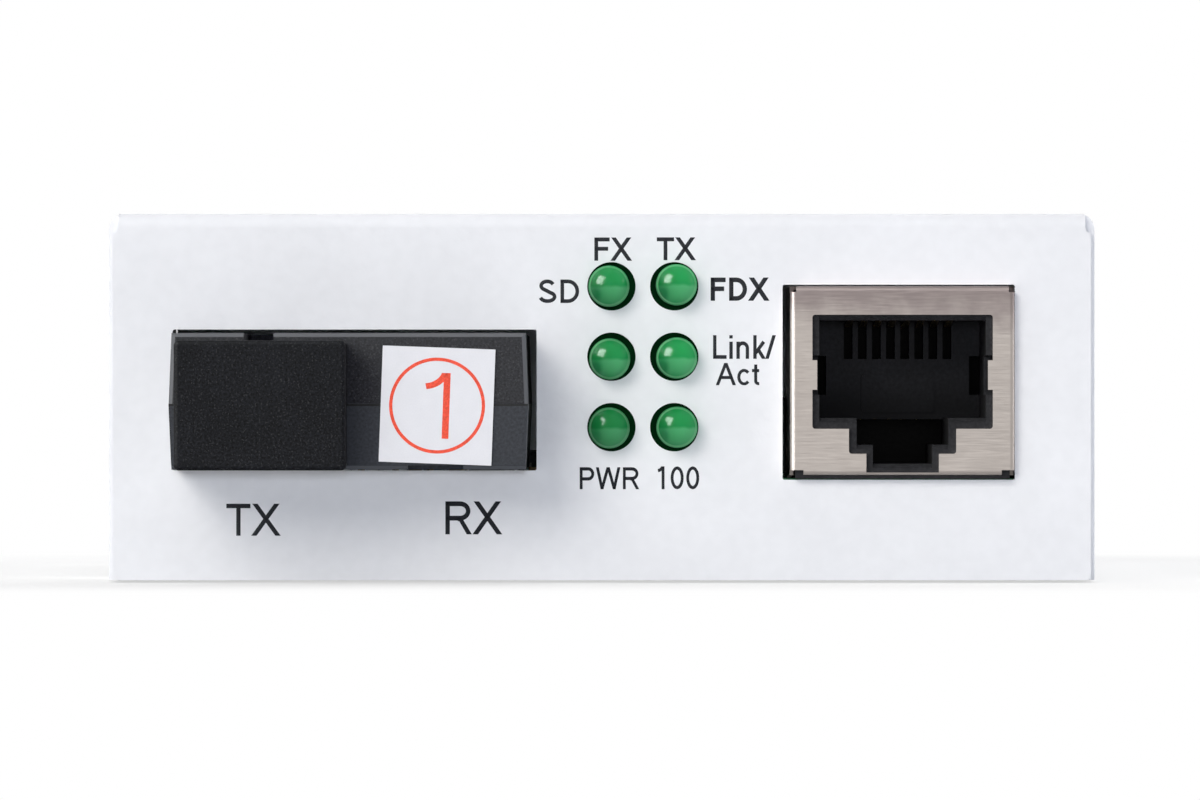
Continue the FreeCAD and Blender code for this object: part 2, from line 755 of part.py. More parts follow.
def make_cover():
    """Top, sides and front flange folded from one sheet."""
    body = new_body("cover")
    pad(body, "XZ", "shell_start", "case_half_y", polygon(
        ("0 - case_half_x", "0"), ("0 - inner_half_x", "0"), ("0 - inner_half_x", "inner_top"),
        ("inner_half_x", "inner_top"), ("inner_half_x", "0"), ("case_half_x", "0"),
        ("case_half_x", "case_height"), ("0 - case_half_x", "case_height")))
    soften(body, "Fillet", "side_bend_radius", x=["case_half_x", "0 - case_half_x"], z=["case_height"])
    soften(body, "Fillet", "inner_bend_radius", x=["inner_half_x", "0 - inner_half_x"], z=["inner_top"])
    bend_end = "shell_start + front_bend_run / 2"
    bend_foot = "corner_relief_z - front_bend_run"
    pad(body, "YZ", "0 - corner_relief_x", "corner_relief_x", polygon(
        ("front_y", bend_foot), ("flange_back", bend_foot), ("flange_back", "inner_top"),
        (bend_end, "inner_top"), (bend_end, "case_height"), ("front_y", "case_height")))
    soften(body, "Fillet", "front_bend_radius", y=["front_y"], z=["case_height"])
    pad(body, "XZ", "front_y", "flange_back", rectangle(
        "0 - flange_half_x", "flange_half_x", "0", "corner_relief_z"))
    soften(body, "Fillet", "flange_corner_radius", x=["flange_half_x", "0 - flange_half_x"], z=["0"])
    holes = [circle(column, height, "lamp_hole_radius") for _, _, column, height, _, _ in lamp_places()]
    for side in ("1", "(0 - 1)"):
        holes.append(circle(f"{side} * (corner_relief_x + relief_shift)", "corner_relief_z",
                            "corner_relief_radius"))
    cut(body, "XZ", "front_y - tool_overrun", "flange_back + tool_overrun",
        rectangle("fibre_opening_left", "fibre_opening_right", "fibre_opening_bottom", "fibre_opening_top"),
        rectangle("jack_opening_left", "jack_opening_right", "jack_opening_bottom", "jack_opening_top"),
        *holes)
    soften(body, "Fillet", "opening_corner_radius",
           x=["fibre_opening_left", "fibre_opening_right", "jack_opening_left", "jack_opening_right"],
           z=["fibre_opening_bottom", "fibre_opening_top", "jack_opening_bottom", "jack_opening_top"])
    features = []
    for place in ("screw_y", "0 - screw_y"):
        features.append(pad(body, "YZ", "tab_outer", "inner_half_x + tool_overrun",
                            circle(place, "screw_z", "dimple_radius")))
        features.append(turned(body, "X", (place, "screw_z"), (
            ("0", "case_half_x + tool_overrun"),
            ("sink_radius + tool_overrun", "case_half_x + tool_overrun"),
            ("screw_hole_radius", "case_half_x - sink_radius + screw_hole_radius"),
            ("screw_hole_radius", "tab_outer - tool_overrun"),
            ("0", "tab_outer - tool_overrun")), removing=True))
    mirrored(body, features, "YZ")
    slot = cut(body, "YZ", "0 - case_half_x - tool_overrun", "case_half_x + tool_overrun",
               centred("vent_first_y", "vent_middle_z", "vent_half_y", "vent_half_z"))
    repeated(body, [slot], "Y", "vent_pitch", "vent_count")


def make_base_tray():
    """Floor, rear panel and four tabs folded from one sheet."""
    body = new_body("base_tray")
    pad(body, "XY", "0", "sheet_thick", rectangle(
        "0 - tray_half_x", "tray_half_x", "flange_back + case_play", "case_half_y"))
    pad(body, "XZ", "panel_inner", "case_half_y", rectangle(
        "0 - tray_half_x", "tray_half_x", "0", "inner_top - case_play"))
    soften(body, "Fillet", "tray_bend_radius", y=["case_half_y"], z=["0"])
    soften(body, "Fillet", "tray_inner_radius", y=["panel_inner"], z=["sheet_thick"])
    cut(body, "XZ", "panel_inner - tool_overrun", "case_half_y + tool_overrun",
        circle("inlet_x", "inlet_z", "inlet_panel_radius"))
    cut(body, "XY", "0 - tool_overrun", "sheet_thick + tool_overrun",
        *[circle(x, y, "rivet_radius") for x, y in spots("fixing")])
    features = []
    for place in ("screw_y", "0 - screw_y"):
        features.append(cut(body, "XY", "0 - tool_overrun", "sheet_thick + tool_overrun", rectangle(
            "tab_inner", "tray_half_x + tool_overrun", f"{place} - tab_half_y - tab_relief",
            f"{place} + tab_half_y + tab_relief")))
        features.append(pad(body, "YZ", "tab_inner", "tab_outer", rectangle(
            f"{place} - tab_half_y", f"{place} + tab_half_y", "0", "tab_height")))
        features.append(cut(body, "YZ", "tab_inner - tool_overrun", "tab_outer + tool_overrun",
                            circle(place, "screw_z", "screw_radius + thread_play")))
    mirrored(body, features, "YZ")


def make_cover_screws():
    """Two countersunk screws a side."""
    body = new_body("cover_screws")
    head_radius = "(sink_radius - sink_play - sink_play)"
    features = []
    for place in ("screw_y", "0 - screw_y"):
        features.append(turned(body, "X", (place, "screw_z"), (
            ("0", "screw_face"),
            (head_radius, "screw_face"),
            ("screw_radius", f"screw_face - {head_radius} + screw_radius"),
            ("screw_radius", "screw_face - cover_screw_length"),
            ("0", "screw_face - cover_screw_length"))))
        features.append(cut(body, "YZ", "screw_face - recess_depth", "screw_face + tool_overrun",
                            cross(place, "screw_z")))
    mirrored(body, features, "YZ")


def make_board_standoffs():
    """Round posts swaged into the floor, bored for M3."""
    body = new_body("board_standoffs")
    for x, y in spots("fixing"):
        turned(body, "Z", (x, y), (
            ("0", "rivet_inset"),
            ("rivet_radius - rivet_play", "rivet_inset"),
            ("rivet_radius - rivet_play", "sheet_thick"),
            ("standoff_radius", "sheet_thick"),
            ("standoff_radius", "board_bottom"),
            ("screw_radius + thread_play", "board_bottom"),
            ("screw_radius + thread_play", "standoff_bore_bottom"),
            ("0", "standoff_bore_bottom")))


def make_board_screws():
    """Pan-head screws that hold the board down."""
    body = new_body("board_screws")
    for x, y in spots("fixing"):
        turned(body, "Z", (x, y), (
            ("0", "board_top - board_screw_length"),
            ("screw_radius", "board_top - board_screw_length"),
            ("screw_radius", "board_top"),
            ("pan_radius", "board_top"),
            ("pan_radius", "board_top + pan_height - pan_edge_radius"),
            ("pan_radius - pan_edge_radius", "board_top + pan_height"),
            ("0", "board_top + pan_height")))
        cut(body, "XY", "board_top + pan_height - recess_depth", "board_top + pan_height + tool_overrun",
            cross(x, y))


def make_main_board():
    """Circuit board with every hole that a lead, peg or screw passes through."""
    body = new_body("main_board")
    pad(body, "XY", "board_bottom", "board_top",
        rectangle("0 - board_half_x", "board_half_x", "board_front", "board_back"))
    holes = [circle(x, y, "fixing_hole_radius") for x, y in spots("fixing")]
    for side in ("1", "(0 - 1)"):
        holes.append(circle(f"module_x + {side} * post_x", "post_y", "post_hole_radius"))
        holes.append(circle(f"jack_x + {side} * housing_peg_x", "housing_peg_y", "housing_peg_hole"))
        holes.append(circle(f"jack_x + {side} * (jack_half_x - jack_sheet / 2)", "shield_leg_y",
                            "shield_leg_hole"))
    for number in range(round(amount("pin_count"))):
        x = f"module_x + pin_pitch * ({number} - (pin_count - 1) / 2)"
        holes.append(circle(x, "pin_y", "pin_hole_radius"))
    for number in range(round(amount("comb_count"))):
        x = f"jack_x + comb_pitch * ({number} - (comb_count - 1) / 2)"
        holes.append(circle(x, "contact_tail_y", "contact_hole_radius"))
    for _, row, column, _, shift_x, _ in lamp_places():
        for side in ("1", "(0 - 1)"):
            holes.append(circle(f"{column} + {shift_x} + {side} * lead_pitch_half",
                                f"lead_top_y - lead_row_step * {row}", "pin_hole_radius"))
    holes.append(circle("inlet_x", "inlet_front - terminal_thick / 2", "terminal_hole_radius"))
    holes.append(circle("inlet_x", "terminal_mid_y", "terminal_hole_radius"))
    holes.append(circle("inlet_x - terminal_side_x", "terminal_side_y", "terminal_hole_radius"))
    cut(body, "XY", "board_bottom - tool_overrun", "board_top + tool_overrun", *holes)


# Transceiver

def module_section(edge_level):
    """Half of the housing's cross-section, widest at the seam."""
    return polygon(
        ("0 - module_half_seam", "module_seam"), ("module_half_seam", "module_seam"),
        ("module_half_edge", edge_level), ("0 - module_half_edge", edge_level))


def module_hollows():
    """Plan outlines shared by both halves: the room behind the port and the blank side."""
    return (
        rectangle("0 - module_inner_half", "module_inner_half", "web_back", "module_back - module_wall"),
        rectangle("module_wall / 2", "module_inner_half", "module_front + module_wall",
                  "web_back + tool_overrun"),
    )


def module_port():
    return rectangle("port_x - port_half_x", "port_x + port_half_x",
                     "module_front - tool_overrun", "web_front")


def make_module_upper_shell():
    body = new_body("module_upper_shell", x="module_x")
    pad(body, "XZ", "module_front", "module_back", module_section("module_top"))
    soften(body, "Chamfer", "module_edge_chamfer", spared="module_seam", y=["module_front"])
    soften(body, "Chamfer", "module_seam_break", y=["module_front"], z=["module_seam"])
    cut(body, "XY", "module_seam - tool_overrun", "port_z + port_half_z", module_port())
    cut(body, "XY", "module_seam - tool_overrun", "module_top + tool_overrun", rectangle(
        "port_x - key_half", "port_x + key_half",
        "module_front - tool_overrun", "module_front + key_depth"))
    hollow, blank = module_hollows()
    cut(body, "XY", "module_seam - tool_overrun", "module_top - module_wall", hollow)
    cut(body, "XY", "module_seam - tool_overrun", "module_top - module_wall", blank)
    cut(body, "XZ", "web_front - tool_overrun", "web_back + tool_overrun",
        circle("port_x", "port_z", "web_bore_radius"))


def make_module_lower_shell():
    body = new_body("module_lower_shell", x="module_x")
    pad(body, "XZ", "module_front", "module_back", module_section("module_bottom"))
    soften(body, "Chamfer", "module_edge_chamfer", spared="module_seam", y=["module_front"])
    cut(body, "XY", "port_z - port_half_z", "module_seam + tool_overrun", module_port())
    hollow, blank = module_hollows()
    cut(body, "XY", "module_bottom + module_wall", "module_seam + tool_overrun", hollow)
    cut(body, "XY", "module_bottom + module_wall", "module_seam + tool_overrun", blank)
    cut(body, "XZ", "web_front - tool_overrun", "web_back + tool_overrun",
        circle("port_x", "port_z", "web_bore_radius"))
    cut(body, "XY", "module_bottom - tool_overrun", "module_bottom + module_wall + tool_overrun",
        centred("0", "pin_y", "module_inner_half", "pin_slot_half_y"))
    cut(body, "XZ", "module_front - tool_overrun", "module_front + ejector_depth", centred(
        "ejector_x", "module_bottom", "ejector_half", "ejector_height"))
    pad(body, "XY", "board_top", "module_bottom + module_wall / 2",
        *[circle(x, y, "foot_radius")
          for x in ("foot_x", "0 - foot_x") for y in ("foot_y_front", "foot_y_back")])
    pad(body, "XY", "lead_end", "module_bottom + module_wall / 2",
        circle("post_x", "post_y", "post_radius"), circle("0 - post_x", "post_y", "post_radius"))


def make_module_latch_insert():
    """Sleeve holder with two sprung arms that grip a connector."""
    body = new_body("module_latch_insert", x="module_x + port_x", z="port_z")
    turned(body, "Y", ("0", "0"), (
        ("latch_bore_radius", "latch_tube_front"),
        ("latch_tube_radius", "latch_tube_front"),
        ("latch_tube_radius", "web_front"),
        ("latch_flange_radius", "web_front"),
        ("latch_flange_radius", "web_back"),
        ("latch_rear_radius", "web_back"),
        ("latch_rear_radius", "latch_tube_back"),
        ("latch_bore_radius", "latch_tube_back")))
    arm = pad(body, "XY", "0 - latch_arm_half_z", "latch_arm_half_z", polygon(
        ("latch_arm_outer", "web_front + tool_overrun"),
        ("latch_arm_outer", "latch_arm_front"),
        ("latch_arm_inner", "latch_arm_front"),
        ("latch_hook_inner", "latch_arm_front + latch_hook_length / 2"),
        ("latch_hook_inner", "latch_arm_front + latch_hook_length"),
        ("latch_arm_inner", "latch_arm_front + latch_hook_length"),
        ("latch_arm_inner", "web_front + tool_overrun")))
    mirrored(body, [arm], "YZ")


def make_fibre_sleeve():
    body = new_body("fibre_sleeve", x="module_x + port_x", z="port_z")
    turned(body, "Y", ("0", "0"), (
        ("sleeve_bore_radius", "sleeve_front"), ("sleeve_outer_radius", "sleeve_front"),
        ("sleeve_outer_radius", "latch_tube_back"), ("sleeve_bore_radius", "latch_tube_back")))


def make_optical_subassembly():
    """Barrel that closes the sleeve, with a detector can on its side."""
    body = new_body("optical_subassembly", x="module_x + port_x", z="port_z")
    turned(body, "Y", ("0", "0"), (
        ("0", "latch_tube_back"), ("optic_flange_radius", "latch_tube_back"),
        ("optic_flange_radius", "latch_tube_back + optic_flange_thick"),
        ("optic_barrel_radius - optic_step", "latch_tube_back + optic_flange_thick"),
        ("optic_barrel_radius - optic_step", "latch_tube_back + optic_flange_thick * 2"),
        ("optic_barrel_radius", "latch_tube_back + optic_flange_thick * 2"),
        ("optic_barrel_radius", "optic_back"), ("0", "optic_back")))
    turned(body, "X", ("optic_can_y", "0"), (
        ("0", "0"), ("optic_can_radius - optic_step", "0"),
        ("optic_can_radius - optic_step", "optic_barrel_radius + optic_step"),
        ("optic_can_radius", "optic_barrel_radius + optic_step"),
        ("optic_can_radius", "optic_can_end"), ("0", "optic_can_end")))


def make_module_board():
    body = new_body("module_board", x="module_x")
    pad(body, "XY", "module_board_bottom", "module_board_bottom + module_board_thick", rectangle(
        "0 - module_board_half_x", "module_board_half_x", "module_board_front", "module_board_back"))


def make_module_pins():
    """Nine pins in one row."""
    body = new_body("module_pins", x="module_x")
    first = "0 - pin_pitch * (pin_count - 1) / 2"
    pin = pad(body, "XY", "lead_end", "module_board_bottom",
              centred(first, "pin_y", "pin_half", "pin_half"))
    repeated(body, [pin], "X", "pin_pitch", "pin_count")


def make_module_sticker():
    body = new_body("module_sticker", x="sticker_x", z="sticker_z")
    body.Placement.Rotation = FreeCAD.Rotation(FreeCAD.Vector(0, 1, 0), amount("sticker_tilt"))
    pad(body, "XZ", "module_front - sticker_thick", "module_front",
        centred("0", "0", "sticker_half_x", "sticker_half_z"))


def make_dust_cap():
    """Solid head with a hollow plug that fits round the sleeve holder."""
    body = new_body("dust_cap", x="module_x + port_x", z="port_z")
    pad(body, "XZ", "cap_front", "head_back", centred("cap_shift", "0", "cap_half_x", "cap_half_z"))
    soften(body, "Fillet", "cap_side_radius", x=["cap_shift + cap_half_x", "cap_shift - cap_half_x"],
           z=["cap_half_z", "0 - cap_half_z"])
    soften(body, "Fillet", "cap_edge_radius", y=["cap_front"])
    pad(body, "XZ", "head_back - tool_overrun", "plug_back",
        centred("0", "0", "plug_half_x", "plug_half_z"))
    soften(body, "Chamfer", "plug_lead_chamfer", y=["plug_back"])
    cut(body, "XZ", "plug_hollow_front", "plug_back + tool_overrun",
        centred("0", "0", "(plug_half_x - plug_wall_x)", "(plug_half_z - plug_wall_z)"))


# Network jack

def stepped(half, step, latch, top, bottom, step_bottom, latch_bottom, left_side=(), right_side=()):
    """Socket outline: wide body, middle step and latch slot."""
    return polygon(
        (f"0 - {half}", bottom), (f"0 - {step}", bottom), (f"0 - {step}", step_bottom),
        (f"0 - {latch}", step_bottom), (f"0 - {latch}", latch_bottom), (latch, latch_bottom),
        (latch, step_bottom), (step, step_bottom), (step, bottom), (half, bottom), *right_side,
        (half, top), (f"0 - {half}", top), *left_side)


def make_jack_shield():
    """Folded metal shield, open below, with the stepped window in its face."""
    body = new_body("jack_shield", x="jack_x")
    pad(body, "XZ", "jack_front", "jack_back",
        rectangle("0 - jack_half_x", "jack_half_x", "jack_bottom", "jack_top"))
    soften(body, "Fillet", "jack_bend_radius", y=["jack_front"])
    cut(body, "XZ", "jack_front + jack_sheet", "jack_back - jack_sheet", rectangle(
        "0 - jack_inner_half", "jack_inner_half", "jack_bottom - tool_overrun", "jack_top - jack_sheet"))
    over = "(jack_half_x + tool_overrun)"
    notches = []
    for low, high, width in (
        ("jack_top - jack_notch_top", "jack_top + tool_overrun", "(jack_half_x - jack_notch_top)"),
        ("jack_bottom - tool_overrun", "jack_bottom + jack_notch_bottom_z",
         "(jack_half_x - jack_notch_bottom_x)"),
    ):
        notches.append(rectangle(width, over, low, high))
        notches.append(rectangle(f"0 - {over}", f"0 - {width}", low, high))
    front_over = "jack_front - tool_overrun"
    cut(body, "XZ", front_over, "jack_front + jack_notch_depth", *notches)
    reach = "(window_half_x - window_tab_reach)"
    right = (("window_half_x", "window_tab_bottom"), (reach, "window_tab_bottom"),
             (reach, "window_tab_top"), ("window_half_x", "window_tab_top"))
    left = tuple((f"0 - {x}", z) for x, z in reversed(right))
    cut(body, "XZ", front_over, "jack_front + jack_sheet + tool_overrun", stepped(
        "window_half_x", "window_step_half", "window_latch_half", "window_top", "window_bottom",
        "window_step_bottom", "window_latch_bottom", left, right))
    soften(body, "Fillet", "window_corner_radius", x=["window_half_x", "0 - window_half_x"],
           z=["window_top", "window_bottom"])
    soften(body, "Fillet", "window_corner_radius", x=["window_step_half", "0 - window_step_half"],
           z=["window_step_bottom"])
    leg = pad(body, "YZ", "jack_inner_half", "jack_half_x", rectangle(
        "shield_leg_y - shield_leg_half", "shield_leg_y + shield_leg_half",
        "lead_end", "jack_bottom + tool_overrun"))
    mirrored(body, [leg], "YZ")


def make_jack_housing():
    """Insulating body with the stepped socket, side recesses, roof channels and two board pegs."""
    body = new_body("jack_housing", x="jack_x")
    pad(body, "XZ", "housing_front", "housing_back",
        rectangle("0 - housing_half_x", "housing_half_x", "housing_bottom", "housing_top"))
    cut(body, "XZ", "housing_front - tool_overrun", "socket_back", stepped(
        "socket_half_x", "socket_step_half", "socket_latch_half", "socket_top", "socket_bottom",
        "socket_step_bottom", "socket_latch_bottom"))
    soften(body, "Chamfer", "socket_lead_in", y=["housing_front"],
           z=["socket_bottom", "socket_top", "socket_step_bottom", "socket_latch_bottom"])
    recess = "window_tab_bottom - side_recess_margin", "window_tab_top + side_recess_margin"
    cut(body, "XZ", "housing_front - tool_overrun", "housing_front + side_recess_depth",
        rectangle("0 - side_recess_half", "side_recess_half", *recess))
    cut(body, "XZ", "socket_back", "housing_back + tool_overrun", rectangle(
        "0 - housing_rear_half", "housing_rear_half", "carrier_seat", "housing_rear_top"))
    cut(body, "XZ", "socket_back - tool_overrun", "latch_end", rectangle(
        "0 - socket_step_half", "socket_step_half", "socket_step_bottom", "socket_bottom"))
    cut(body, "XZ", "socket_back - tool_overrun", "latch_end", rectangle(
        "0 - socket_latch_half", "socket_latch_half", "socket_latch_bottom", "socket_bottom"))
    first = "0 - comb_pitch * (comb_count - 1) / 2"
    channel = cut(body, "XZ", "channel_front", "socket_back + tool_overrun", rectangle(
        f"{first} - comb_half", f"{first} + comb_half", "socket_top - tool_overrun", "channel_top"))
    repeated(body, [channel], "X", "comb_pitch", "comb_count")
    pad(body, "XY", "lead_end", "housing_bottom + tool_overrun",
        circle("housing_peg_x", "housing_peg_y", "housing_peg_radius"),
        circle("0 - housing_peg_x", "housing_peg_y", "housing_peg_radius"))


def make_jack_contact_carrier():
    """Rear block with an eight-way comb, two side pockets and a plain raised pad."""
    body = new_body("jack_contact_carrier", x="jack_x")
    pad(body, "XZ", "socket_back", "carrier_back",
        rectangle("0 - carrier_half_x", "carrier_half_x", "carrier_bottom", "carrier_top"))
    first = "0 - comb_pitch * (comb_count - 1) / 2"
    slot = cut(body, "XZ", "socket_back - tool_overrun", "socket_back + comb_depth", rectangle(
        f"{first} - comb_half", f"{first} + comb_half", "comb_bottom", "socket_top"))
    repeated(body, [slot], "X", "comb_pitch", "comb_count")
    side, over = "socket_half_x - carrier_pocket_width", "carrier_half_x + tool_overrun"
    levels = "window_tab_bottom - side_recess_margin", "window_tab_top + side_recess_margin"
    cut(body, "XZ", "socket_back - tool_overrun", "socket_back + carrier_pocket_depth",
        rectangle(side, over, *levels), rectangle(f"0 - ({over})", f"0 - ({side})", *levels))
    pad(body, "XZ", "socket_back - plain_pad_thick", "socket_back + tool_overrun",
        rectangle("0 - plain_pad_half_x", "plain_pad_half_x", "plain_pad_bottom", "plain_pad_top"))
    soften(body, "Fillet", "plain_pad_radius", x=["plain_pad_half_x", "0 - plain_pad_half_x"],
           z=["plain_pad_bottom", "plain_pad_top"])


def make_jack_contacts():
    """Eight spring contacts, each folded back from the roof into its comb slot."""
    body = new_body("jack_contacts", x="jack_x")
    first = "(0 - comb_pitch * (comb_count - 1) / 2)"
    roof_low = "contact_roof - contact_thick"
    wire = pad(body, "YZ", f"{first} - contact_half", f"{first} + contact_half", polygon(
        ("contact_tail_y + contact_thick / 2", "lead_end"),
        ("contact_tail_y + contact_thick / 2", "contact_roof"),
        ("contact_turn_y - contact_fold", "contact_roof"),
        ("contact_turn_y - contact_fold - contact_thick", "contact_roof - contact_thick"),
        ("contact_turn_y - contact_fold - contact_thick", "contact_roof - contact_thick * 2"),
        ("contact_low_y", "contact_low_z - contact_thick"),
        ("contact_tip_y", "contact_low_z - contact_thick"),
        ("contact_tip_y", "contact_low_z"),
        ("contact_low_y", "contact_low_z"),
        ("contact_turn_y - contact_fold", f"{roof_low} - contact_fold_slack"),
        ("contact_turn_y - contact_fold", roof_low),
        ("contact_tail_y - contact_thick / 2", roof_low),
        ("contact_tail_y - contact_thick / 2", "lead_end")))
    repeated(body, [wire], "X", "comb_pitch", "comb_count")


# Lamps

def make_lamps():
    """Six lenses, each a turned dome with a rim, and their bent leads."""
    for number, row, column, height, shift_x, shift_z in lamp_places():
        x = f"{column} + {shift_x}"
        z = f"{height} + {shift_z}"
        lens = new_body(f"lamp_lens_{number}", x=x, z=z)
        turned(lens, "Y", ("0", "0"), (
            ("0", "lens_front"), ("lens_radius", "lens_front"), ("lens_radius", "lens_rim_front"),
            ("lens_rim_radius", "lens_rim_front"), ("lens_rim_radius", "lens_rim_back"),
            ("0", "lens_rim_back")))
        soften(lens, "Fillet", "lens_dome_radius", y=["lens_front"])
        leads = new_body(f"lamp_leads_{number}", x=x, z=z)
        back = f"(lead_top_y - lead_row_step * {row})"
        lead = pad(leads, "YZ", "lead_pitch_half - lead_half", "lead_pitch_half + lead_half", polygon(
            ("lens_rim_back", "0 - lead_half"), (f"{back} - lead_half", "0 - lead_half"),
            (f"{back} - lead_half", f"lead_end - ({z})"), (f"{back} + lead_half", f"lead_end - ({z})"),
            (f"{back} + lead_half", "lead_half"), ("lens_rim_back", "lead_half")))
        mirrored(leads, [lead], "YZ")


# Power inlet

def make_power_inlet():
    body = new_body("power_inlet_body", x="inlet_x", z="inlet_z")
    pad(body, "XZ", "inlet_front", "panel_inner", rectangle(
        "0 - inlet_half_x", "inlet_half_x", "0 - inlet_drop", "inlet_rise"))
    soften(body, "Chamfer", "inlet_top_chamfer", x=["inlet_half_x", "0 - inlet_half_x"], z=["inlet_rise"])
    cut(body, "XZ", "inlet_bore_bottom", "panel_inner + tool_overrun",
        circle("0", "0", "inlet_bore_radius"))
    pin = new_body("power_inlet_pin", x="inlet_x", z="inlet_z")
    turned(pin, "Y", ("0", "0"), (
        ("0", "inlet_bore_bottom"), ("inlet_pin_radius", "inlet_bore_bottom"),
        ("inlet_pin_radius", "inlet_pin_end"), ("0", "inlet_pin_end")))
    soften(pin, "Fillet", "inlet_pin_tip", y=["inlet_pin_end"])
    spring = new_body("power_inlet_spring", x="inlet_x", z="inlet_z")
    pad(spring, "XY", "0 - inlet_spring_low", "0 - inlet_spring_high", rectangle(
        "0 - inlet_spring_half", "inlet_spring_half", "inlet_spring_start", "inlet_spring_end"))
    terminals = new_body("power_inlet_terminals", x="inlet_x")
    pad(terminals, "XY", "lead_end", "board_top + terminal_rise", rectangle(
        "0 - terminal_half_x", "terminal_half_x", "inlet_front - terminal_thick", "inlet_front"))
    pad(terminals, "XY", "lead_end", "board_top",
        centred("0", "terminal_mid_y", "terminal_half_x", "terminal_thick / 2"),
        centred("(0 - terminal_side_x)", "terminal_side_y", "terminal_half_x", "terminal_thick / 2"))


# Parts on the board

def gull_leg(inner, outer, exit_height, side="1"):
    """Side view of a leg that leaves a body, drops and ends in a foot, on either side of the body."""
    foot = "leg_thick"
    knee = f"({inner} + ({outer} - {inner}) / 2)"
    steps = (
        (inner, exit_height), (f"({knee} + {foot})", exit_height), (f"({knee} + {foot})", foot),
        (outer, foot), (outer, "0"), (knee, "0"),
        (knee, f"{exit_height} - {foot}"), (inner, f"{exit_height} - {foot}"))
    return polygon(*[(f"{side} * {along}", height) for along, height in steps])


def make_converter_chip():
    chip = new_body("converter_chip", x="chip_x", y="chip_y", z="board_top")
    pad(chip, "XY", "chip_rise", "chip_rise + chip_height", centred("0", "0", "chip_half", "chip_half"))
    soften(chip, "Chamfer", "chip_edge", z=["chip_rise + chip_height"])
    legs = new_body("converter_chip_legs", x="chip_x", y="chip_y", z="board_top")
    first = "(0 - chip_leg_pitch * (chip_leg_count - 1) / 2)"
    span = (f"{first} - chip_leg_half", f"{first} + chip_leg_half")
    outer = "(chip_half + chip_leg_out)"
    for plane, axis in (("YZ", "X"), ("XZ", "Y")):
        near = pad(legs, plane, *span, gull_leg("chip_half", outer, "leg_exit"))
        far = pad(legs, plane, *span, gull_leg("chip_half", outer, "leg_exit", "(0 - 1)"))
        repeated(legs, [near, far], axis, "chip_leg_pitch", "chip_leg_count")


def make_network_transformer():
    block = new_body("network_transformer", x="transformer_x", y="transformer_y", z="board_top")
    pad(block, "XY", "transformer_rise", "transformer_rise + transformer_height",
        centred("0", "0", "transformer_half_x", "transformer_half_y"))
    soften(block, "Chamfer", "transformer_edge", z=["transformer_rise + transformer_height"])
    legs = new_body("network_transformer_legs", x="transformer_x", y="transformer_y", z="board_top")
    first = "(0 - transformer_leg_pitch * (transformer_leg_count - 1) / 2)"
    span = (f"{first} - transformer_leg_half", f"{first} + transformer_leg_half")
    outer = "(transformer_half_y + transformer_leg_out)"
    near = pad(legs, "YZ", *span, gull_leg("transformer_half_y", outer, "transformer_leg_exit"))
    far = pad(legs, "YZ", *span, gull_leg("transformer_half_y", outer, "transformer_leg_exit", "(0 - 1)"))
    repeated(legs, [near, far], "X", "transformer_leg_pitch", "transformer_leg_count")


def make_crystal_can():
    body = new_body("crystal_can", x="crystal_x", y="crystal_y", z="board_top")
    pad(body, "XY", "0", "crystal_rim_height", centred("0", "0", "crystal_half_x", "crystal_half_y"))
    inner_x = "(crystal_half_x - crystal_rim)"
    inner_y = "(crystal_half_y - crystal_rim)"
    pad(body, "XY", "crystal_rim_height", "crystal_height", centred("0", "0", inner_x, inner_y))
    soften(body, "Fillet", "crystal_half_y - crystal_rim - crystal_flat", x=[inner_x, f"0 - {inner_x}"],
           y=[inner_y, f"0 - {inner_y}"])
    soften(body, "Fillet", "crystal_rim", z=["crystal_height"])
    soften(body, "Fillet", "crystal_half_y - crystal_flat", x=["crystal_half_x", "0 - crystal_half_x"],
           y=["crystal_half_y", "0 - crystal_half_y"])


def make_capacitors():
    cans = new_body("bulk_capacitors", z="board_top")
    for x, y in spots("capacitor"):
        turned(cans, "Z", (x, y), (
            ("0", "capacitor_base_height"), ("capacitor_radius", "capacitor_base_height"),
            ("capacitor_radius", "capacitor_base_height + capacitor_bead_rise - capacitor_neck"),
            ("capacitor_radius - capacitor_neck", "capacitor_base_height + capacitor_bead_rise"),
            ("capacitor_radius", "capacitor_base_height + capacitor_bead_rise + capacitor_neck"),
            ("capacitor_radius", "capacitor_height - capacitor_edge"),
            ("capacitor_radius - capacitor_edge", "capacitor_height"), ("0", "capacitor_height")))
    bases = new_body("capacitor_bases", z="board_top")
    pad(bases, "XY", "0", "capacitor_base_height",
        *[centred(x, y, "capacitor_base_half", "capacitor_base_half") for x, y in spots("capacitor")])


def make_voltage_regulator():
    block = new_body("voltage_regulator", x="regulator_x", y="regulator_y", z="board_top")
    pad(block, "XY", "0", "regulator_height", centred("0", "0", "regulator_half_x", "regulator_half_y"))
    soften(block, "Chamfer", "chip_edge", z=["regulator_height"])
    legs = new_body("regulator_legs", x="regulator_x", y="regulator_y", z="board_top")
    first = "(0 - regulator_leg_pitch * (regulator_leg_count - 1) / 2)"
    outer = "(regulator_half_y + regulator_leg_out)"
    leg = pad(legs, "YZ", f"{first} - regulator_leg_half", f"{first} + regulator_leg_half",
              gull_leg("regulator_half_y", outer, "leg_exit", "(0 - 1)"))
    repeated(legs, [leg], "X", "regulator_leg_pitch", "regulator_leg_count")
    pad(legs, "YZ", "0 - regulator_tab_half", "regulator_tab_half",
        gull_leg("regulator_half_y", outer, "leg_exit"))


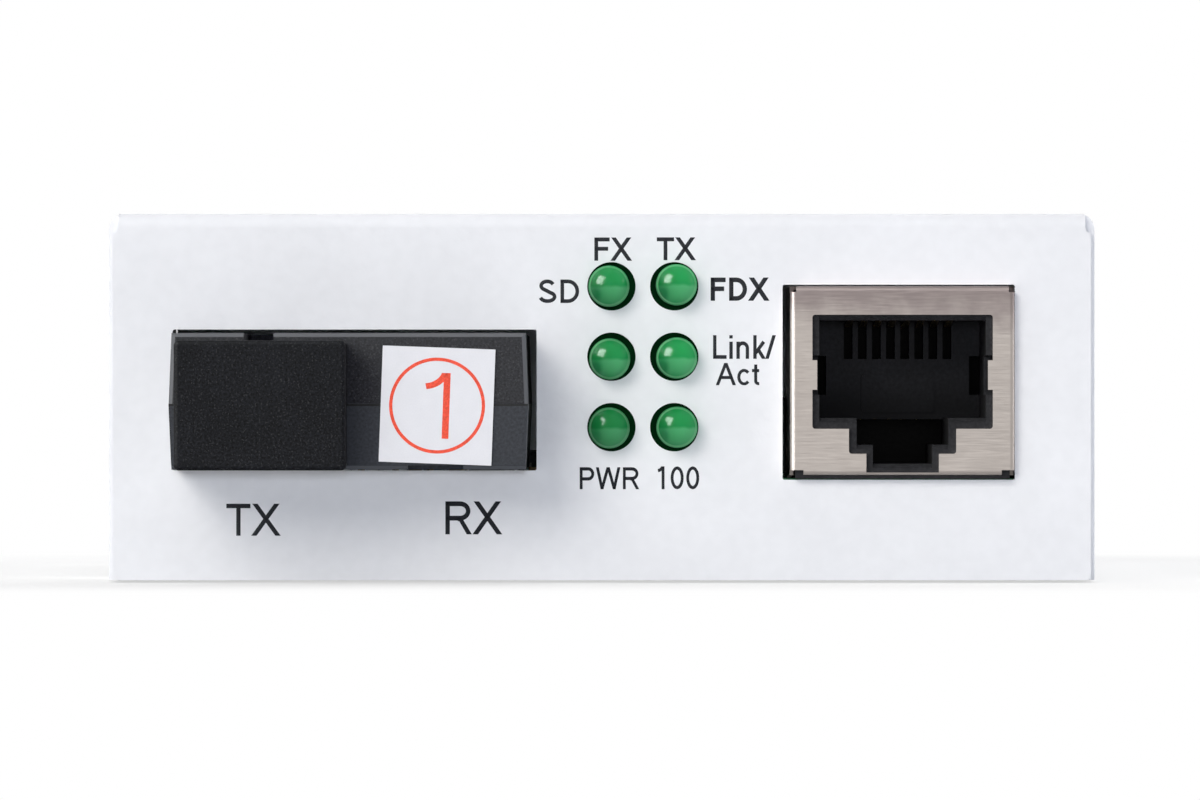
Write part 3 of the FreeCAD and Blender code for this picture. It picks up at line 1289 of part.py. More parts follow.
def make_power_inductor():
    ring = new_body("power_inductor", x="inductor_x", y="inductor_y", z="board_top")
    pad(ring, "XY", "0", "inductor_height", centred("0", "0", "inductor_half", "inductor_half"))
    soften(ring, "Chamfer", "inductor_corner", x=["inductor_half", "0 - inductor_half"],
           y=["inductor_half", "0 - inductor_half"])
    cut(ring, "XY", "inductor_height / 2", "inductor_height + tool_overrun",
        circle("0", "0", "inductor_core_radius + inductor_core_play"))
    core = new_body("inductor_core", x="inductor_x", y="inductor_y", z="board_top")
    pad(core, "XY", "inductor_height / 2", "inductor_height - inductor_core_inset",
        circle("0", "0", "inductor_core_radius"))


def make_chip_passives():
    """Two rows of small chip parts, ceramic bodies and tinned ends."""
    bodies = new_body("chip_passives", x="passive_row_x", z="board_top")
    ends = new_body("passive_terminations", x="passive_row_x", z="board_top")
    inner = "(passive_half_x - passive_cap)"
    blocks = []
    caps = []
    for row in ("passive_row_1", "passive_row_2"):
        blocks.append(pad(bodies, "XY", "0", "passive_height", centred("0", row, inner, "passive_half_y")))
        for left, right in ((inner, "passive_half_x"), ("0 - passive_half_x", f"0 - {inner}")):
            caps.append(pad(ends, "XY", "0", "passive_height", rectangle(
                left, right, f"{row} - passive_half_y", f"{row} + passive_half_y")))
    repeated(bodies, blocks, "X", "passive_pitch", "passive_count")
    repeated(ends, caps, "X", "passive_pitch", "passive_count")


for make in (
    make_cover, make_base_tray, make_cover_screws, make_board_standoffs, make_board_screws,
    make_main_board, make_module_upper_shell, make_module_lower_shell, make_module_latch_insert,
    make_fibre_sleeve, make_optical_subassembly, make_module_board, make_module_pins,
    make_module_sticker, make_dust_cap, make_jack_shield, make_jack_housing,
    make_jack_contact_carrier, make_jack_contacts, make_lamps, make_power_inlet,
    make_converter_chip, make_network_transformer, make_crystal_can, make_capacitors,
    make_voltage_regulator, make_power_inductor, make_chip_passives,
):
    make()

document.recompute()
for item in document.Objects:
    if "Invalid" in item.State or "Error" in item.State:
        raise ValueError(f"{item.Name} did not compute")

os.makedirs("parts", exist_ok=True)
for body in sub_parts:
    if body.Shape.isNull() or not body.Shape.isValid():
        raise ValueError(f"{body.Label} has no valid shape")
    body.Shape.exportStep(f"parts/{body.Label}.step")
    print(body.Label, len(body.Shape.Solids), round(body.Shape.Volume, 2))
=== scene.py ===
import math

import bpy
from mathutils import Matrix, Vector


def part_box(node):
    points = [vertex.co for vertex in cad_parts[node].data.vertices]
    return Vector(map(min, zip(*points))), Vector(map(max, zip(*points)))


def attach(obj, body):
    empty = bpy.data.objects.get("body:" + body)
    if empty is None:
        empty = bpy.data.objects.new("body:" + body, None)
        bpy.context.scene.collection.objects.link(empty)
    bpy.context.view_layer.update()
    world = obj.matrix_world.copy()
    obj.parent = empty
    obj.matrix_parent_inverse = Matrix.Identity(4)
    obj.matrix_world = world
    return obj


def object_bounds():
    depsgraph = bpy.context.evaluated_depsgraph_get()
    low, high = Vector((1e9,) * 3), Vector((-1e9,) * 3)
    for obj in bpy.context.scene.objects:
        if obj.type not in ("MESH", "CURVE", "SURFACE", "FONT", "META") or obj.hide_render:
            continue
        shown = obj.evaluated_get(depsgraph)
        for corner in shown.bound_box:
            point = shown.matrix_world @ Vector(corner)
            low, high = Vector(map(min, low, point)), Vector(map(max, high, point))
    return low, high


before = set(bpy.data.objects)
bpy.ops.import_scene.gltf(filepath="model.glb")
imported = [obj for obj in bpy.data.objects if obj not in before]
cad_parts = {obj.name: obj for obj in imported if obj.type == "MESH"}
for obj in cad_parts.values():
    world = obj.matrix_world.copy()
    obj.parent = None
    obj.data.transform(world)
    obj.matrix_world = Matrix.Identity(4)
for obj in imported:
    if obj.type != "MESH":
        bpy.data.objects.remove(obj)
cadLow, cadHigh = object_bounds()
mm = 0.001
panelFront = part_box("cover")[0].y
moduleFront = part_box("module_upper_shell")[0].y
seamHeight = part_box("module_upper_shell")[0].z

camera = {
    "distance": 700,     # mm in front of the panel
    "across": -0.13,     # mm to the right of the case's middle
    "height": 12.78,     # mm above the floor
    "lens": 296,         # mm
    "sensor": 36,        # mm wide
    "clip": (0.01, 20),  # m
}


def makeCamera():
    bpy.ops.object.camera_add(location=(
        camera["across"] * mm, panelFront - camera["distance"] * mm, camera["height"] * mm))
    made = bpy.context.object
    made.name = "frontCamera"
    made.rotation_euler = (math.radians(90), 0, 0)
    made.data.sensor_width = camera["sensor"]
    made.data.lens = camera["lens"]
    made.data.clip_start, made.data.clip_end = camera["clip"]
    bpy.context.scene.camera = made


makeCamera()
print("camera ready")


def startMaterial(name):
    material = bpy.data.materials.new(name)
    material.use_nodes = True
    tree = material.node_tree
    return material, tree, tree.nodes["Principled BSDF"]


# points in metres on the piece, moved and stretched by a Mapping node
def objectPoints(tree, stretch=(1, 1, 1), start=(0, 0, 0)):
    source = tree.nodes.new("ShaderNodeTexCoord")
    mapping = tree.nodes.new("ShaderNodeMapping")
    mapping.inputs["Location"].default_value = [-place * scale for place, scale in zip(start, stretch)]
    mapping.inputs["Scale"].default_value = stretch
    tree.links.new(source.outputs["Object"], mapping.inputs["Vector"])
    return mapping.outputs["Vector"]


def grain(tree, points, size, detail=2.0, roughness=0.5):
    node = tree.nodes.new("ShaderNodeTexNoise")
    node.inputs["Scale"].default_value = 1 / (size * mm)
    node.inputs["Detail"].default_value = detail
    node.inputs["Roughness"].default_value = roughness
    tree.links.new(points, node.inputs["Vector"])
    return node.outputs["Fac"]


# low where the value is at start or less, high where it is at end or more;
# most noise lies between 0.3 and 0.7
def spread(tree, value, low, high, start=0.3, end=0.7, smooth=False):
    node = tree.nodes.new("ShaderNodeMapRange")
    node.interpolation_type = "SMOOTHSTEP" if smooth else "LINEAR"
    node.inputs["From Min"].default_value = start
    node.inputs["From Max"].default_value = end
    node.inputs["To Min"].default_value = low
    node.inputs["To Max"].default_value = high
    tree.links.new(value, node.inputs["Value"])
    return node.outputs["Result"]


# a share that grows or fades between two places, in mm or another unit
def between(tree, value, low, high, places, unit=mm, origin=0.0, smooth=True):
    start, end = [origin + place * unit for place in places]
    return spread(tree, value, low, high, start, end, smooth)


def blendColours(tree, value, first, second, start=0.3, end=0.7):
    node = tree.nodes.new("ShaderNodeValToRGB")
    node.color_ramp.elements[0].position = start
    node.color_ramp.elements[1].position = end
    node.color_ramp.elements[0].color = (*first, 1)
    node.color_ramp.elements[1].color = (*second, 1)
    tree.links.new(value, node.inputs["Fac"])
    return node.outputs["Color"]


def mixColours(tree, share, first, second, kind="MIX"):
    node = tree.nodes.new("ShaderNodeMix")
    node.data_type = "RGBA"
    node.blend_type = kind
    for name, value in (("Factor", share), ("A", first), ("B", second)):
        if isinstance(value, (tuple, float)):
            node.inputs[name].default_value = (*value, 1) if isinstance(value, tuple) else value
        else:
            tree.links.new(value, node.inputs[name])
    return node.outputs["Result"]


# makes a tone darker or lighter where the value is low or high
def swing(tree, tone, value, low, high, start=0.3, end=0.7):
    low, high = [(part,) * 3 if isinstance(part, float) else part for part in (low, high)]
    return mixColours(tree, 1.0, tone, blendColours(tree, value, low, high, start, end), "MULTIPLY")


def combine(tree, kind, first, second=None):
    node = tree.nodes.new("ShaderNodeMath")
    node.operation = kind
    for socket, value in zip(node.inputs, (first, second)):
        if isinstance(value, (int, float)):
            socket.default_value = value
        elif value is not None:
            tree.links.new(value, socket)
    return node.outputs["Value"]


# how far off a point is, from its two distances; a squash under 1 measures in a tall oval
def diagonal(tree, across, up, squash=None):
    acrossSquare = combine(tree, "MULTIPLY", across, across)
    upSquare = combine(tree, "MULTIPLY", up, up)
    if squash:
        upSquare = combine(tree, "MULTIPLY", upSquare, squash)
    return combine(tree, "SQRT", combine(tree, "ADD", acrossSquare, upSquare))


def splitPoints(tree, points):
    node = tree.nodes.new("ShaderNodeSeparateXYZ")
    tree.links.new(points, node.inputs["Vector"])
    return node.outputs


def relief(tree, shader, value, depth, under=None):
    node = tree.nodes.new("ShaderNodeBump")
    node.inputs["Strength"].default_value = 1.0
    node.inputs["Distance"].default_value = depth * mm
    tree.links.new(value, node.inputs["Height"])
    if under:
        tree.links.new(under, node.inputs["Normal"])
    tree.links.new(node.outputs["Normal"], shader.inputs["Normal"])
    return node.outputs["Normal"]


def shade(colour, factor):
    return tuple(min(1.0, part * factor) for part in colour)


# what all grained finishes share
finish = {
    "broad": 14,             # size of the cloudiness, in grains
    "broadLeast": 1.6,       # mm
    "dust": 0.8,             # size of a fleck, in grains
    "dustFrom": 0.60,        # less of the noise than this is clean
    "dustTo": 0.74,
    "roughnessSwing": 0.06,
    "fineness": dict(detail=3.0, roughness=0.6),
}

# the painted highlight on the chamfer round the transceiver's front face, in mm behind that face
chamferHighlightBand = {
    "start": (0.01, 0.05),
    "end": (0.29, 0.34),
}

# the dark line where the transceiver's two halves meet
seamLine = {
    "colour": (0.002, 0.002, 0.002),
    "share": 0.9,
    "height": (-0.17, -0.11),    # mm above the seam
}

# painted shade in the network socket: how black it turns, and between which places in mm
socketPaintedShade = {
    "inwards": (0.12, (0.5, 11.6)),      # behind the panel, from its mouth to its back wall
    "beyond": (0.95, (11.6, 12.0)),      # past the back wall
    "lowDown": (0.6, (12.0, 14.8)),      # above the floor
    "lowDownFrom": (6, 11.6),            # behind the panel, where lowDown sets in
}


# painted highlight: a lighter band of colour on the chamfer
def paintChamferHighlight(tree, tone, colour):
    back = splitPoints(tree, objectPoints(tree, start=(0, moduleFront, 0)))["Y"]
    band = combine(tree, "MULTIPLY", between(tree, back, 0.0, 1.0, chamferHighlightBand["start"], smooth=False),
                   between(tree, back, 1.0, 0.0, chamferHighlightBand["end"], smooth=False))
    return mixColours(tree, band, tone, colour)


def paintSeam(tree, tone):
    height = splitPoints(tree, objectPoints(tree, start=(0, 0, seamHeight)))["Z"]
    line = between(tree, height, 0.0, seamLine["share"], seamLine["height"])
    return mixColours(tree, line, tone, seamLine["colour"])


# painted shade: darker deeper in the socket, past its back wall and low down
def paintSocketShade(tree, tone):
    shadeBlack = (0.0, 0.0, 0.0)
    _, back, height = splitPoints(tree, objectPoints(tree))
    for share, places in (socketPaintedShade["inwards"], socketPaintedShade["beyond"]):
        fade = between(tree, back, 0.0, share, places, origin=panelFront, smooth=False)
        tone = mixColours(tree, fade, tone, shadeBlack)
    share, places = socketPaintedShade["lowDown"]
    fade = combine(tree, "MULTIPLY", between(tree, height, share, 0.0, places),
                   between(tree, back, 0.0, 1.0, socketPaintedShade["lowDownFrom"], origin=panelFront))
    return mixColours(tree, fade, tone, shadeBlack)


# a finish with fine grain, broad cloudiness and a matching relief; size and depth are in mm
def grained(name, colour, roughness, size, contrast, depth, metallic=0.0, stretch=(1, 1, 1),
            gloss=0.5, cloud=0.05, speck=0.0, edge=None, seam=False, inSocket=False):
    material, tree, shader = startMaterial(name)
    points = objectPoints(tree, stretch)
    fine = grain(tree, points, size, **finish["fineness"])
    broad = grain(tree, objectPoints(tree), max(size * finish["broad"], finish["broadLeast"]))
    tone = blendColours(tree, fine, shade(colour, 1 - contrast), shade(colour, 1 + contrast))
    tone = swing(tree, tone, broad, 1 - cloud, 1 + cloud)
    if speck:
        dust = grain(tree, points, size * finish["dust"], detail=1.0)
        dusty = spread(tree, dust, 0.0, 1.0, finish["dustFrom"], finish["dustTo"])
        tone = mixColours(tree, dusty, tone, tuple(part + speck for part in colour))
    if edge:
        tone = paintChamferHighlight(tree, tone, edge)
    if seam:
        tone = paintSeam(tree, tone)
    if inSocket:
        tone = paintSocketShade(tree, tone)
    tree.links.new(tone, shader.inputs["Base Color"])
    uneven = spread(tree, fine, roughness - finish["roughnessSwing"], roughness + finish["roughnessSwing"])
    tree.links.new(uneven, shader.inputs["Roughness"])
    relief(tree, shader, fine, depth)
    shader.inputs["Metallic"].default_value = metallic
    shader.inputs["Specular IOR Level"].default_value = gloss
    return material


def dress(material, *names):
    for name in names:
        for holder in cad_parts[name].material_slots:
            holder.material = material


# white powder coat: orange peel under a fine speck, slightly uneven in tone
coat = {
    "colour": (0.830, 0.838, 0.863),
    "roughness": (0.37, 0.50),
    "gloss": 0.10,
    "peelSize": 0.9,     # mm, like the other sizes and depths
    "peelDepth": 0.030,
    "peelTone": (0.985, 1.012),
    "speckSize": 0.16,
    "speckDepth": 0.005,
    "patchSize": 7.0,
    "patchTone": (0.975, 1.015),
}


def peelGrain(tree, points):
    return grain(tree, points, coat["peelSize"], detail=1.5)


def makeCoat():
    material, tree, shader = startMaterial("whitePowderCoat")
    points = objectPoints(tree)
    peel = peelGrain(tree, points)
    speck = grain(tree, points, coat["speckSize"])
    patch = grain(tree, points, coat["patchSize"], detail=3.0)
    dark, light = coat["patchTone"]
    tone = blendColours(tree, patch, shade(coat["colour"], dark), shade(coat["colour"], light))
    tone = swing(tree, tone, peel, *coat["peelTone"])
    tree.links.new(tone, shader.inputs["Base Color"])
    tree.links.new(spread(tree, speck, *coat["roughness"]), shader.inputs["Roughness"])
    shader.inputs["Specular IOR Level"].default_value = coat["gloss"]
    under = relief(tree, shader, speck, coat["speckDepth"])
    relief(tree, shader, peel, coat["peelDepth"], under=under)
    return material


dress(makeCoat(), "cover", "base_tray")

# the chamfer colours of the two shells are painted highlights on the transceiver's front chamfer
plastics = {
    "upperShell": dict(colour=(0.0150, 0.0152, 0.0188), roughness=0.60, size=0.16, contrast=0.75,
                       depth=0.014, gloss=0.14, speck=0.026, edge=(0.112, 0.116, 0.126)),
    "lowerShell": dict(colour=(0.0228, 0.0252, 0.0320), roughness=0.45, size=0.20, contrast=0.35,
                       depth=0.006, gloss=0.20, edge=(0.066, 0.071, 0.082), seam=True),
    "capBlack": dict(colour=(0.0062, 0.0066, 0.0084), roughness=0.58, size=0.17, contrast=0.95,
                     depth=0.016, gloss=0.05, speck=0.023, cloud=0.22),
    # the socket plastic also carries painted shade in its recesses
    "socketBlack": dict(colour=(0.0175, 0.0175, 0.0195), roughness=0.45, size=0.30, contrast=0.30,
                        depth=0.004, gloss=0.08, cloud=0.20, inSocket=True),
    "inletBlack": dict(colour=(0.014, 0.014, 0.015), roughness=0.5, size=0.14, contrast=0.2,
                       depth=0.005, gloss=0.3),
    "packageBlack": dict(colour=(0.020, 0.020, 0.021), roughness=0.6, size=0.08, contrast=0.3,
                         depth=0.006, gloss=0.3),
}
plasticNodes = {
    "upperShell": ["module_upper_shell"],
    "lowerShell": ["module_lower_shell", "module_latch_insert"],
    "capBlack": ["dust_cap"],
    "socketBlack": ["jack_housing", "jack_contact_carrier"],
    "inletBlack": ["power_inlet_body"],
    "packageBlack": ["converter_chip", "network_transformer", "capacitor_bases", "voltage_regulator"],
}
for kind, values in plastics.items():
    dress(grained(kind, **values), *plasticNodes[kind])
print("case and plastics ready")

lampNumbers = range(1, 7)
metals = {
    "screwNickel": dict(colour=(0.66, 0.65, 0.63), roughness=0.36, size=0.12, contrast=0.05, depth=0.002),
    "zincSteel": dict(colour=(0.62, 0.63, 0.64), roughness=0.38, size=0.2, contrast=0.07, depth=0.003),
    "contactGold": dict(colour=(0.62, 0.45, 0.18), roughness=0.28, size=0.1, contrast=0.06, depth=0.001),
    "leadTin": dict(colour=(0.68, 0.68, 0.67), roughness=0.3, size=0.15, contrast=0.06, depth=0.002),
    "turnedSteel": dict(colour=(0.62, 0.60, 0.56), roughness=0.3, size=0.06, contrast=0.08, depth=0.002,
                        stretch=(1, 0.2, 1)),
    "canAluminium": dict(colour=(0.78, 0.79, 0.80), roughness=0.32, size=0.12, contrast=0.05, depth=0.002),
}
metalNodes = {
    "screwNickel": ["cover_screws", "board_screws", "power_inlet_pin", "power_inlet_spring"],
    "zincSteel": ["board_standoffs"],
    "contactGold": ["jack_contacts", "module_pins"],
    "leadTin": ["power_inlet_terminals", "converter_chip_legs", "network_transformer_legs",
                "regulator_legs", "passive_terminations"]
               + [f"lamp_leads_{number}" for number in lampNumbers],
    "turnedSteel": ["optical_subassembly"],
    "canAluminium": ["crystal_can", "bulk_capacitors"],
}
for kind, values in metals.items():
    dress(grained(kind, metallic=1.0, **values), *metalNodes[kind])

# rolled nickel silver, with painted shade: darker and browner towards its top fold
shield = {
    "colour": (0.362, 0.326, 0.306),
    "paintedTopShade": (0.216, 0.182, 0.178),
    "paintedShadeHeight": (17.2, 20.3),   # mm above the floor
    "paintedShadeWaver": 0.9,             # mm, up and down
    "roughness": (0.31, 0.42),
    "lineSize": 0.07,                # mm across the rolling lines
    "lineStretch": (0.04, 1, 1),
    "lineTone": (0.965, 1.03),
    "lineDepth": 0.0006,
    "hazeSize": 2.6,
    "hazeTone": ((0.96, 0.955, 0.95), 1.03),
    "fineness": dict(detail=3.0, roughness=0.6),
}


def makeShield():
    material, tree, shader = startMaterial("rolledNickel")
    stretched = objectPoints(tree, shield["lineStretch"])
    lines = grain(tree, stretched, shield["lineSize"], **shield["fineness"])
    haze = grain(tree, objectPoints(tree), shield["hazeSize"], **shield["fineness"])
    # painted shade: the colour turns darker and browner towards the top fold, along a wavering line
    height = splitPoints(tree, objectPoints(tree))["Z"]
    waver = shield["paintedShadeWaver"] * mm
    height = combine(tree, "ADD", height, spread(tree, haze, -waver, waver))
    share = between(tree, height, 0.0, 1.0, shield["paintedShadeHeight"])
    tone = mixColours(tree, share, shield["colour"], shield["paintedTopShade"])
    tone = swing(tree, tone, lines, *shield["lineTone"])
    tone = swing(tree, tone, haze, *shield["hazeTone"])
    tree.links.new(tone, shader.inputs["Base Color"])
    tree.links.new(spread(tree, lines, *shield["roughness"]), shader.inputs["Roughness"])
    relief(tree, shader, lines, shield["lineDepth"])
    shader.inputs["Metallic"].default_value = 1.0
    return material


dress(makeShield(), "jack_shield")

others = {
    "zirconia": dict(colour=(0.86, 0.86, 0.82), roughness=0.16, size=0.3, contrast=0.03, depth=0.001),
    "ferrite": dict(colour=(0.07, 0.07, 0.075), roughness=0.55, size=0.12, contrast=0.22, depth=0.006),
    "passiveBrown": dict(colour=(0.30, 0.18, 0.10), roughness=0.45, size=0.1, contrast=0.12, depth=0.002),
    "labelPaper": dict(colour=(0.735, 0.737, 0.772), roughness=0.7, size=0.11, contrast=0.02,
                       depth=0.006, gloss=0.25, cloud=0.02),
}
otherNodes = {
    "zirconia": ["fibre_sleeve"],
    "ferrite": ["power_inductor", "inductor_core"],
    "passiveBrown": ["chip_passives"],
    "labelPaper": ["module_sticker"],
}
for kind, values in others.items():
    dress(grained(kind, **values), *otherNodes[kind])

board = {
    "mask": (0.012, 0.12, 0.045),
    "maskLighter": 1.15,
    "track": (0.02, 0.19, 0.075),
    "trackWidth": 0.05,      # of a field
    "field": 6.4,            # mm, four tracks
    "roughness": (0.22, 0.34),
    "grainSize": 0.4,        # mm
    "grainDepth": 0.004,
}


def makeBoardMask():
    material, tree, shader = startMaterial("solderMask")
    points = objectPoints(tree)
    bricks = tree.nodes.new("ShaderNodeTexBrick")
    bricks.inputs["Scale"].default_value = 1 / (board["field"] * mm)
    bricks.inputs["Mortar Size"].default_value = board["trackWidth"]
    bricks.inputs["Color1"].default_value = (*board["mask"], 1)
    bricks.inputs["Color2"].default_value = (*shade(board["mask"], board["maskLighter"]), 1)
    bricks.inputs["Mortar"].default_value = (*board["track"], 1)
    tree.links.new(points, bricks.inputs["Vector"])
    tree.links.new(bricks.outputs["Color"], shader.inputs["Base Color"])
    fine = grain(tree, points, board["grainSize"])
    tree.links.new(spread(tree, fine, *board["roughness"]), shader.inputs["Roughness"])
    relief(tree, shader, fine, board["grainDepth"])
    return material


dress(makeBoardMask(), "main_board", "module_board")
print("metals, paper and boards ready")

# tinted green epoxy lamps, whose colour carries painted light and shade: a painted floor reflection below a
# painted horizon at the middle, painted shade at the lower left and behind the panel, a painted dark
# reflection low on the left, a painted pale reflection round the rim, and painted brightness that differs
# from lamp to lamp
lens = {
    # the lens green above the painted horizon, and the same green lightened and greyed by a painted
    # reflection of the floor below it
    "greenAboveHorizon": (0.016, 0.305, 0.072),
    "below": (0.070, 0.410, 0.146),
    # painted shade for the part of the lamp behind the panel
    "inside": (0.0010, 0.034, 0.007),
    "rim": (0.110, 0.420, 0.180),
    "paintedDarkReflection": (0.006, 0.125, 0.040),
    "radius": 1.46,                  # mm
    "roughness": (0.18, 0.23),
    "grainSize": 0.5,                # mm, of the roughness
    "gloss": 0.12,
    "depth": (0.35, 1.0, 0.45),      # how far red, green and blue light travel inside, by depthScale
    "depthScale": 0.6,               # mm
    "depthWeight": 0.35,
    # painted light and shade that differs from lamp to lamp, as brightness factors for the green above and
    # below the painted horizon
    "paintedLightAbove": [0.97, 1.10, 0.97, 1.16, 0.72, 1.00],    # lamps 1 to 6, above the horizon
    "paintedLightBelow": [0.98, 1.10, 1.00, 1.15, 0.80, 1.05],        # and below it
    "paintedHorizon": (-0.22, 0.10),        # mm above the lamp's middle
    "waver": 0.06,                   # mm, up and down
    "waverSize": 1.1,                # mm, from bend to bend
    # painted shade and painted light across the lamp, from the lower left to the upper right
    "paintedLightSlope": (0.8, 0.45),         # how fast to the right and upwards
    "paintedLightReach": 1.3,            # mm from the lamp's middle
    "paintedShadeTint": (0.32, 0.48, 0.46),   # tint at the lower left
    "paintedLightTint": (1.55, 1.20, 1.40),  # tint at the upper right
    # where the painted dark reflection lies on the lamp
    "patchPlace": (-0.66, -0.44),    # right and up, in radii
    "patchSize": (0.10, 0.40),       # full and gone, in radii
    "patchSquash": 0.45,
    "patchShare": 0.62,
    # where the painted pale reflection round the rim lies
    "ringStart": (0.885, 0.925),     # in radii
    "ringEnd": (0.94, 0.975),
    "ringShare": 0.75,
    "ringGain": 1.08,
    "mattRim": (0.84, 0.98),         # in radii
    "mattGain": 0.5,
    "paintedShadeFrom": (0.2, 1.2),        # mm behind the panel's face
}


def makeLens(number):
    material, tree, shader = startMaterial(f"lensGreen{number}")
    low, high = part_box(f"lamp_lens_{number}")
    middle = (low + high) / 2
    # this lamp's painted light and shade factors
    power, paintedLightBelow = lens["paintedLightAbove"][number - 1], lens["paintedLightBelow"][number - 1]
    radius, waver = lens["radius"] * mm, lens["waver"] * mm
    points = objectPoints(tree, start=(middle.x, 0, middle.z))
    across, depth, height = splitPoints(tree, points)
    away = diagonal(tree, across, height)

    cloud = grain(tree, points, lens["waverSize"], detail=1.5)
    # painted reflection: below the wavering horizon the lamp takes the greyer, lighter green of a mirrored
    # floor
    lifted = combine(tree, "ADD", height, spread(tree, cloud, -waver, waver))
    aboveHorizonShare = between(tree, lifted, 0.0, 1.0, lens["paintedHorizon"])
    tone = mixColours(tree, aboveHorizonShare, shade(lens["below"], paintedLightBelow), shade(lens["greenAboveHorizon"], power))

    # painted shade at the lower left and painted light at the upper right
    rightShare, upShare = lens["paintedLightSlope"]
    slope = combine(tree, "ADD", combine(tree, "MULTIPLY", height, upShare),
                    combine(tree, "MULTIPLY", across, rightShare))
    paintedLightLevel = between(tree, slope, 0.0, 1.0, (-lens["paintedLightReach"], lens["paintedLightReach"]), smooth=False)
    tone = swing(tree, tone, paintedLightLevel, lens["paintedShadeTint"], lens["paintedLightTint"], 0.0, 1.0)

    # a painted dark reflection: a deep patch low on the left
    beside, under = [combine(tree, "ADD", value, -place * radius)
                     for value, place in zip((across, height), lens["patchPlace"])]
    apart = diagonal(tree, beside, under, lens["patchSquash"])
    patch = between(tree, apart, lens["patchShare"], 0.0, lens["patchSize"], radius)
    tone = mixColours(tree, patch, tone, lens["paintedDarkReflection"])

    # a painted reflection: a paler ring where the dome turns over
    ring = combine(tree, "MULTIPLY", between(tree, away, 0.0, lens["ringShare"], lens["ringStart"], radius),
                   between(tree, away, 1.0, 0.0, lens["ringEnd"], radius))
    tone = mixColours(tree, ring, tone, shade(lens["rim"], power * lens["ringGain"]))
    # painted shade: the lamp turns near black behind the panel's face
    behind = between(tree, depth, 0.0, 1.0, lens["paintedShadeFrom"], origin=panelFront)
    tone = mixColours(tree, behind, tone, lens["inside"])
    tree.links.new(tone, shader.inputs["Base Color"])

    uneven = spread(tree, grain(tree, points, lens["grainSize"]), *lens["roughness"])
    matt = between(tree, away, 0.0, lens["mattGain"], lens["mattRim"], radius)
    tree.links.new(combine(tree, "ADD", uneven, matt), shader.inputs["Roughness"])
    shader.inputs["Subsurface Weight"].default_value = lens["depthWeight"]
    shader.inputs["Subsurface Radius"].default_value = lens["depth"]
    shader.inputs["Subsurface Scale"].default_value = lens["depthScale"] * mm
    shader.inputs["Specular IOR Level"].default_value = lens["gloss"]
    return material


for number in lampNumbers:
    dress(makeLens(number), f"lamp_lens_{number}")
print("lenses ready")


# a bow of an ellipse as a run of points, from one angle to another in degrees
def bow(x, y, wide, tall, start, end, steps=14):
    turns = [math.radians(start + (end - start) * step / steps) for step in range(steps + 1)]
    return [(x + wide * math.cos(turn), y + tall * math.sin(turn)) for turn in turns]


# heights in cap heights: what runs past the base line or the cap line is cut off there
belowLine = -0.2
aboveLine = 1.2
smallTop = 0.725


# straight strokes that cross both lines
def rise(foot, head):
    return [(foot, belowLine), (head, aboveLine)]


def fall(head, foot):
    return [(head, aboveLine), (foot, belowLine)]


def upright(x):
    return rise(x, x)


# width of each sign and its strokes by their middle lines, in cap heights; h is half a stroke
signs = {
    "F": (0.85, lambda h: [upright(.112 + h), [(.112, 1 - h), (.80, 1 - h)], [(.112, .515), (.73, .515)]]),
    "T": (0.85, lambda h: [[(.03, 1 - h), (.815, 1 - h)], [(.423, belowLine), (.423, 1 - h)]]),
    "X": (0.93, lambda h: [rise(-.145 + h, 1.045 - h), rise(1.085 - h, -.11 + h)]),
    "S": (0.93, lambda h: [bow(.455, .735, .35 - h, .265 - h, 18, 245)
                           + bow(.468, .268, .394 - h, .268 - h, 65, -168)]),
    "D": (1.0, lambda h: [upright(.108 + h),
                          [(.108, 1 - h)] + bow(.44, .5, .49 - h, .5 - h, 90, -90) + [(.108, h)]]),
    "P": (0.93, lambda h: [upright(.107 + h),
                           [(.107, 1 - h)] + bow(.55, (1.47 - h) / 2, .315 - h, (.53 - h) / 2, 90, -90)
                           + [(.107, .47)]]),
    "R": (1.0, lambda h: [upright(.11 + h),
                          [(.11, 1 - h)] + bow(.59, (1.49 - h) / 2, .33 - h, (.51 - h) / 2, 90, -90)
                          + [(.11, .49)],
                          [(.52, .47), (.60, .455), (1.08 - h, belowLine)]]),
    "W": (1.32, lambda h: [fall(-.03 + h, .40), rise(.27, .72), fall(.60, 1.05), rise(.92, 1.347 - h)]),
    "L": (0.78, lambda h: [[(.102 + h, h * .2), (.102 + h, aboveLine)], [(.102, h), (.73, h)]]),
    "A": (0.93, lambda h: [rise(-.07 + h, .545), fall(.385, 1.0 - h), [(.19, .345), (.74, .345)]]),
    "i": (0.31, lambda h: [[(.155, belowLine), (.155, smallTop)], [(.155, .86), (.155, aboveLine)]]),
    "n": (0.78, lambda h: [[(.092 + h, belowLine), (.092 + h, smallTop)],
                           bow(.386, .44, .294 - h, .30 - h, 165, 0) + [(.68 - h, belowLine)]]),
    "k": (0.70, lambda h: [upright(.092 + h), [(.12 + h, .24), (.66 - h, smallTop)],
                           [(.24 + h, .40), (.80 - h, belowLine)]]),
    "c": (0.70, lambda h: [bow(.37, .363, .315 - h, .375 - h, 40, 320)]),
    "t": (0.39, lambda h: [[(.20, .93), (.20, .19)] + bow(.33, .19, .13, .19 - h, 180, 285, 6)[1:],
                           [(.03, smallTop - h), (.36, smallTop - h)]]),
    "/": (0.39, lambda h: [rise(-.035, .425)]),
    "1": (0.78, lambda h: [upright(.53 - h), bow(.16, 1.05, .33 - h * .6, .31 - h, 350, 278, 8)]),
    "0": (0.78, lambda h: [bow(.383, .5, .325 - h, .5 - h, 0, 360, 32)]),
}


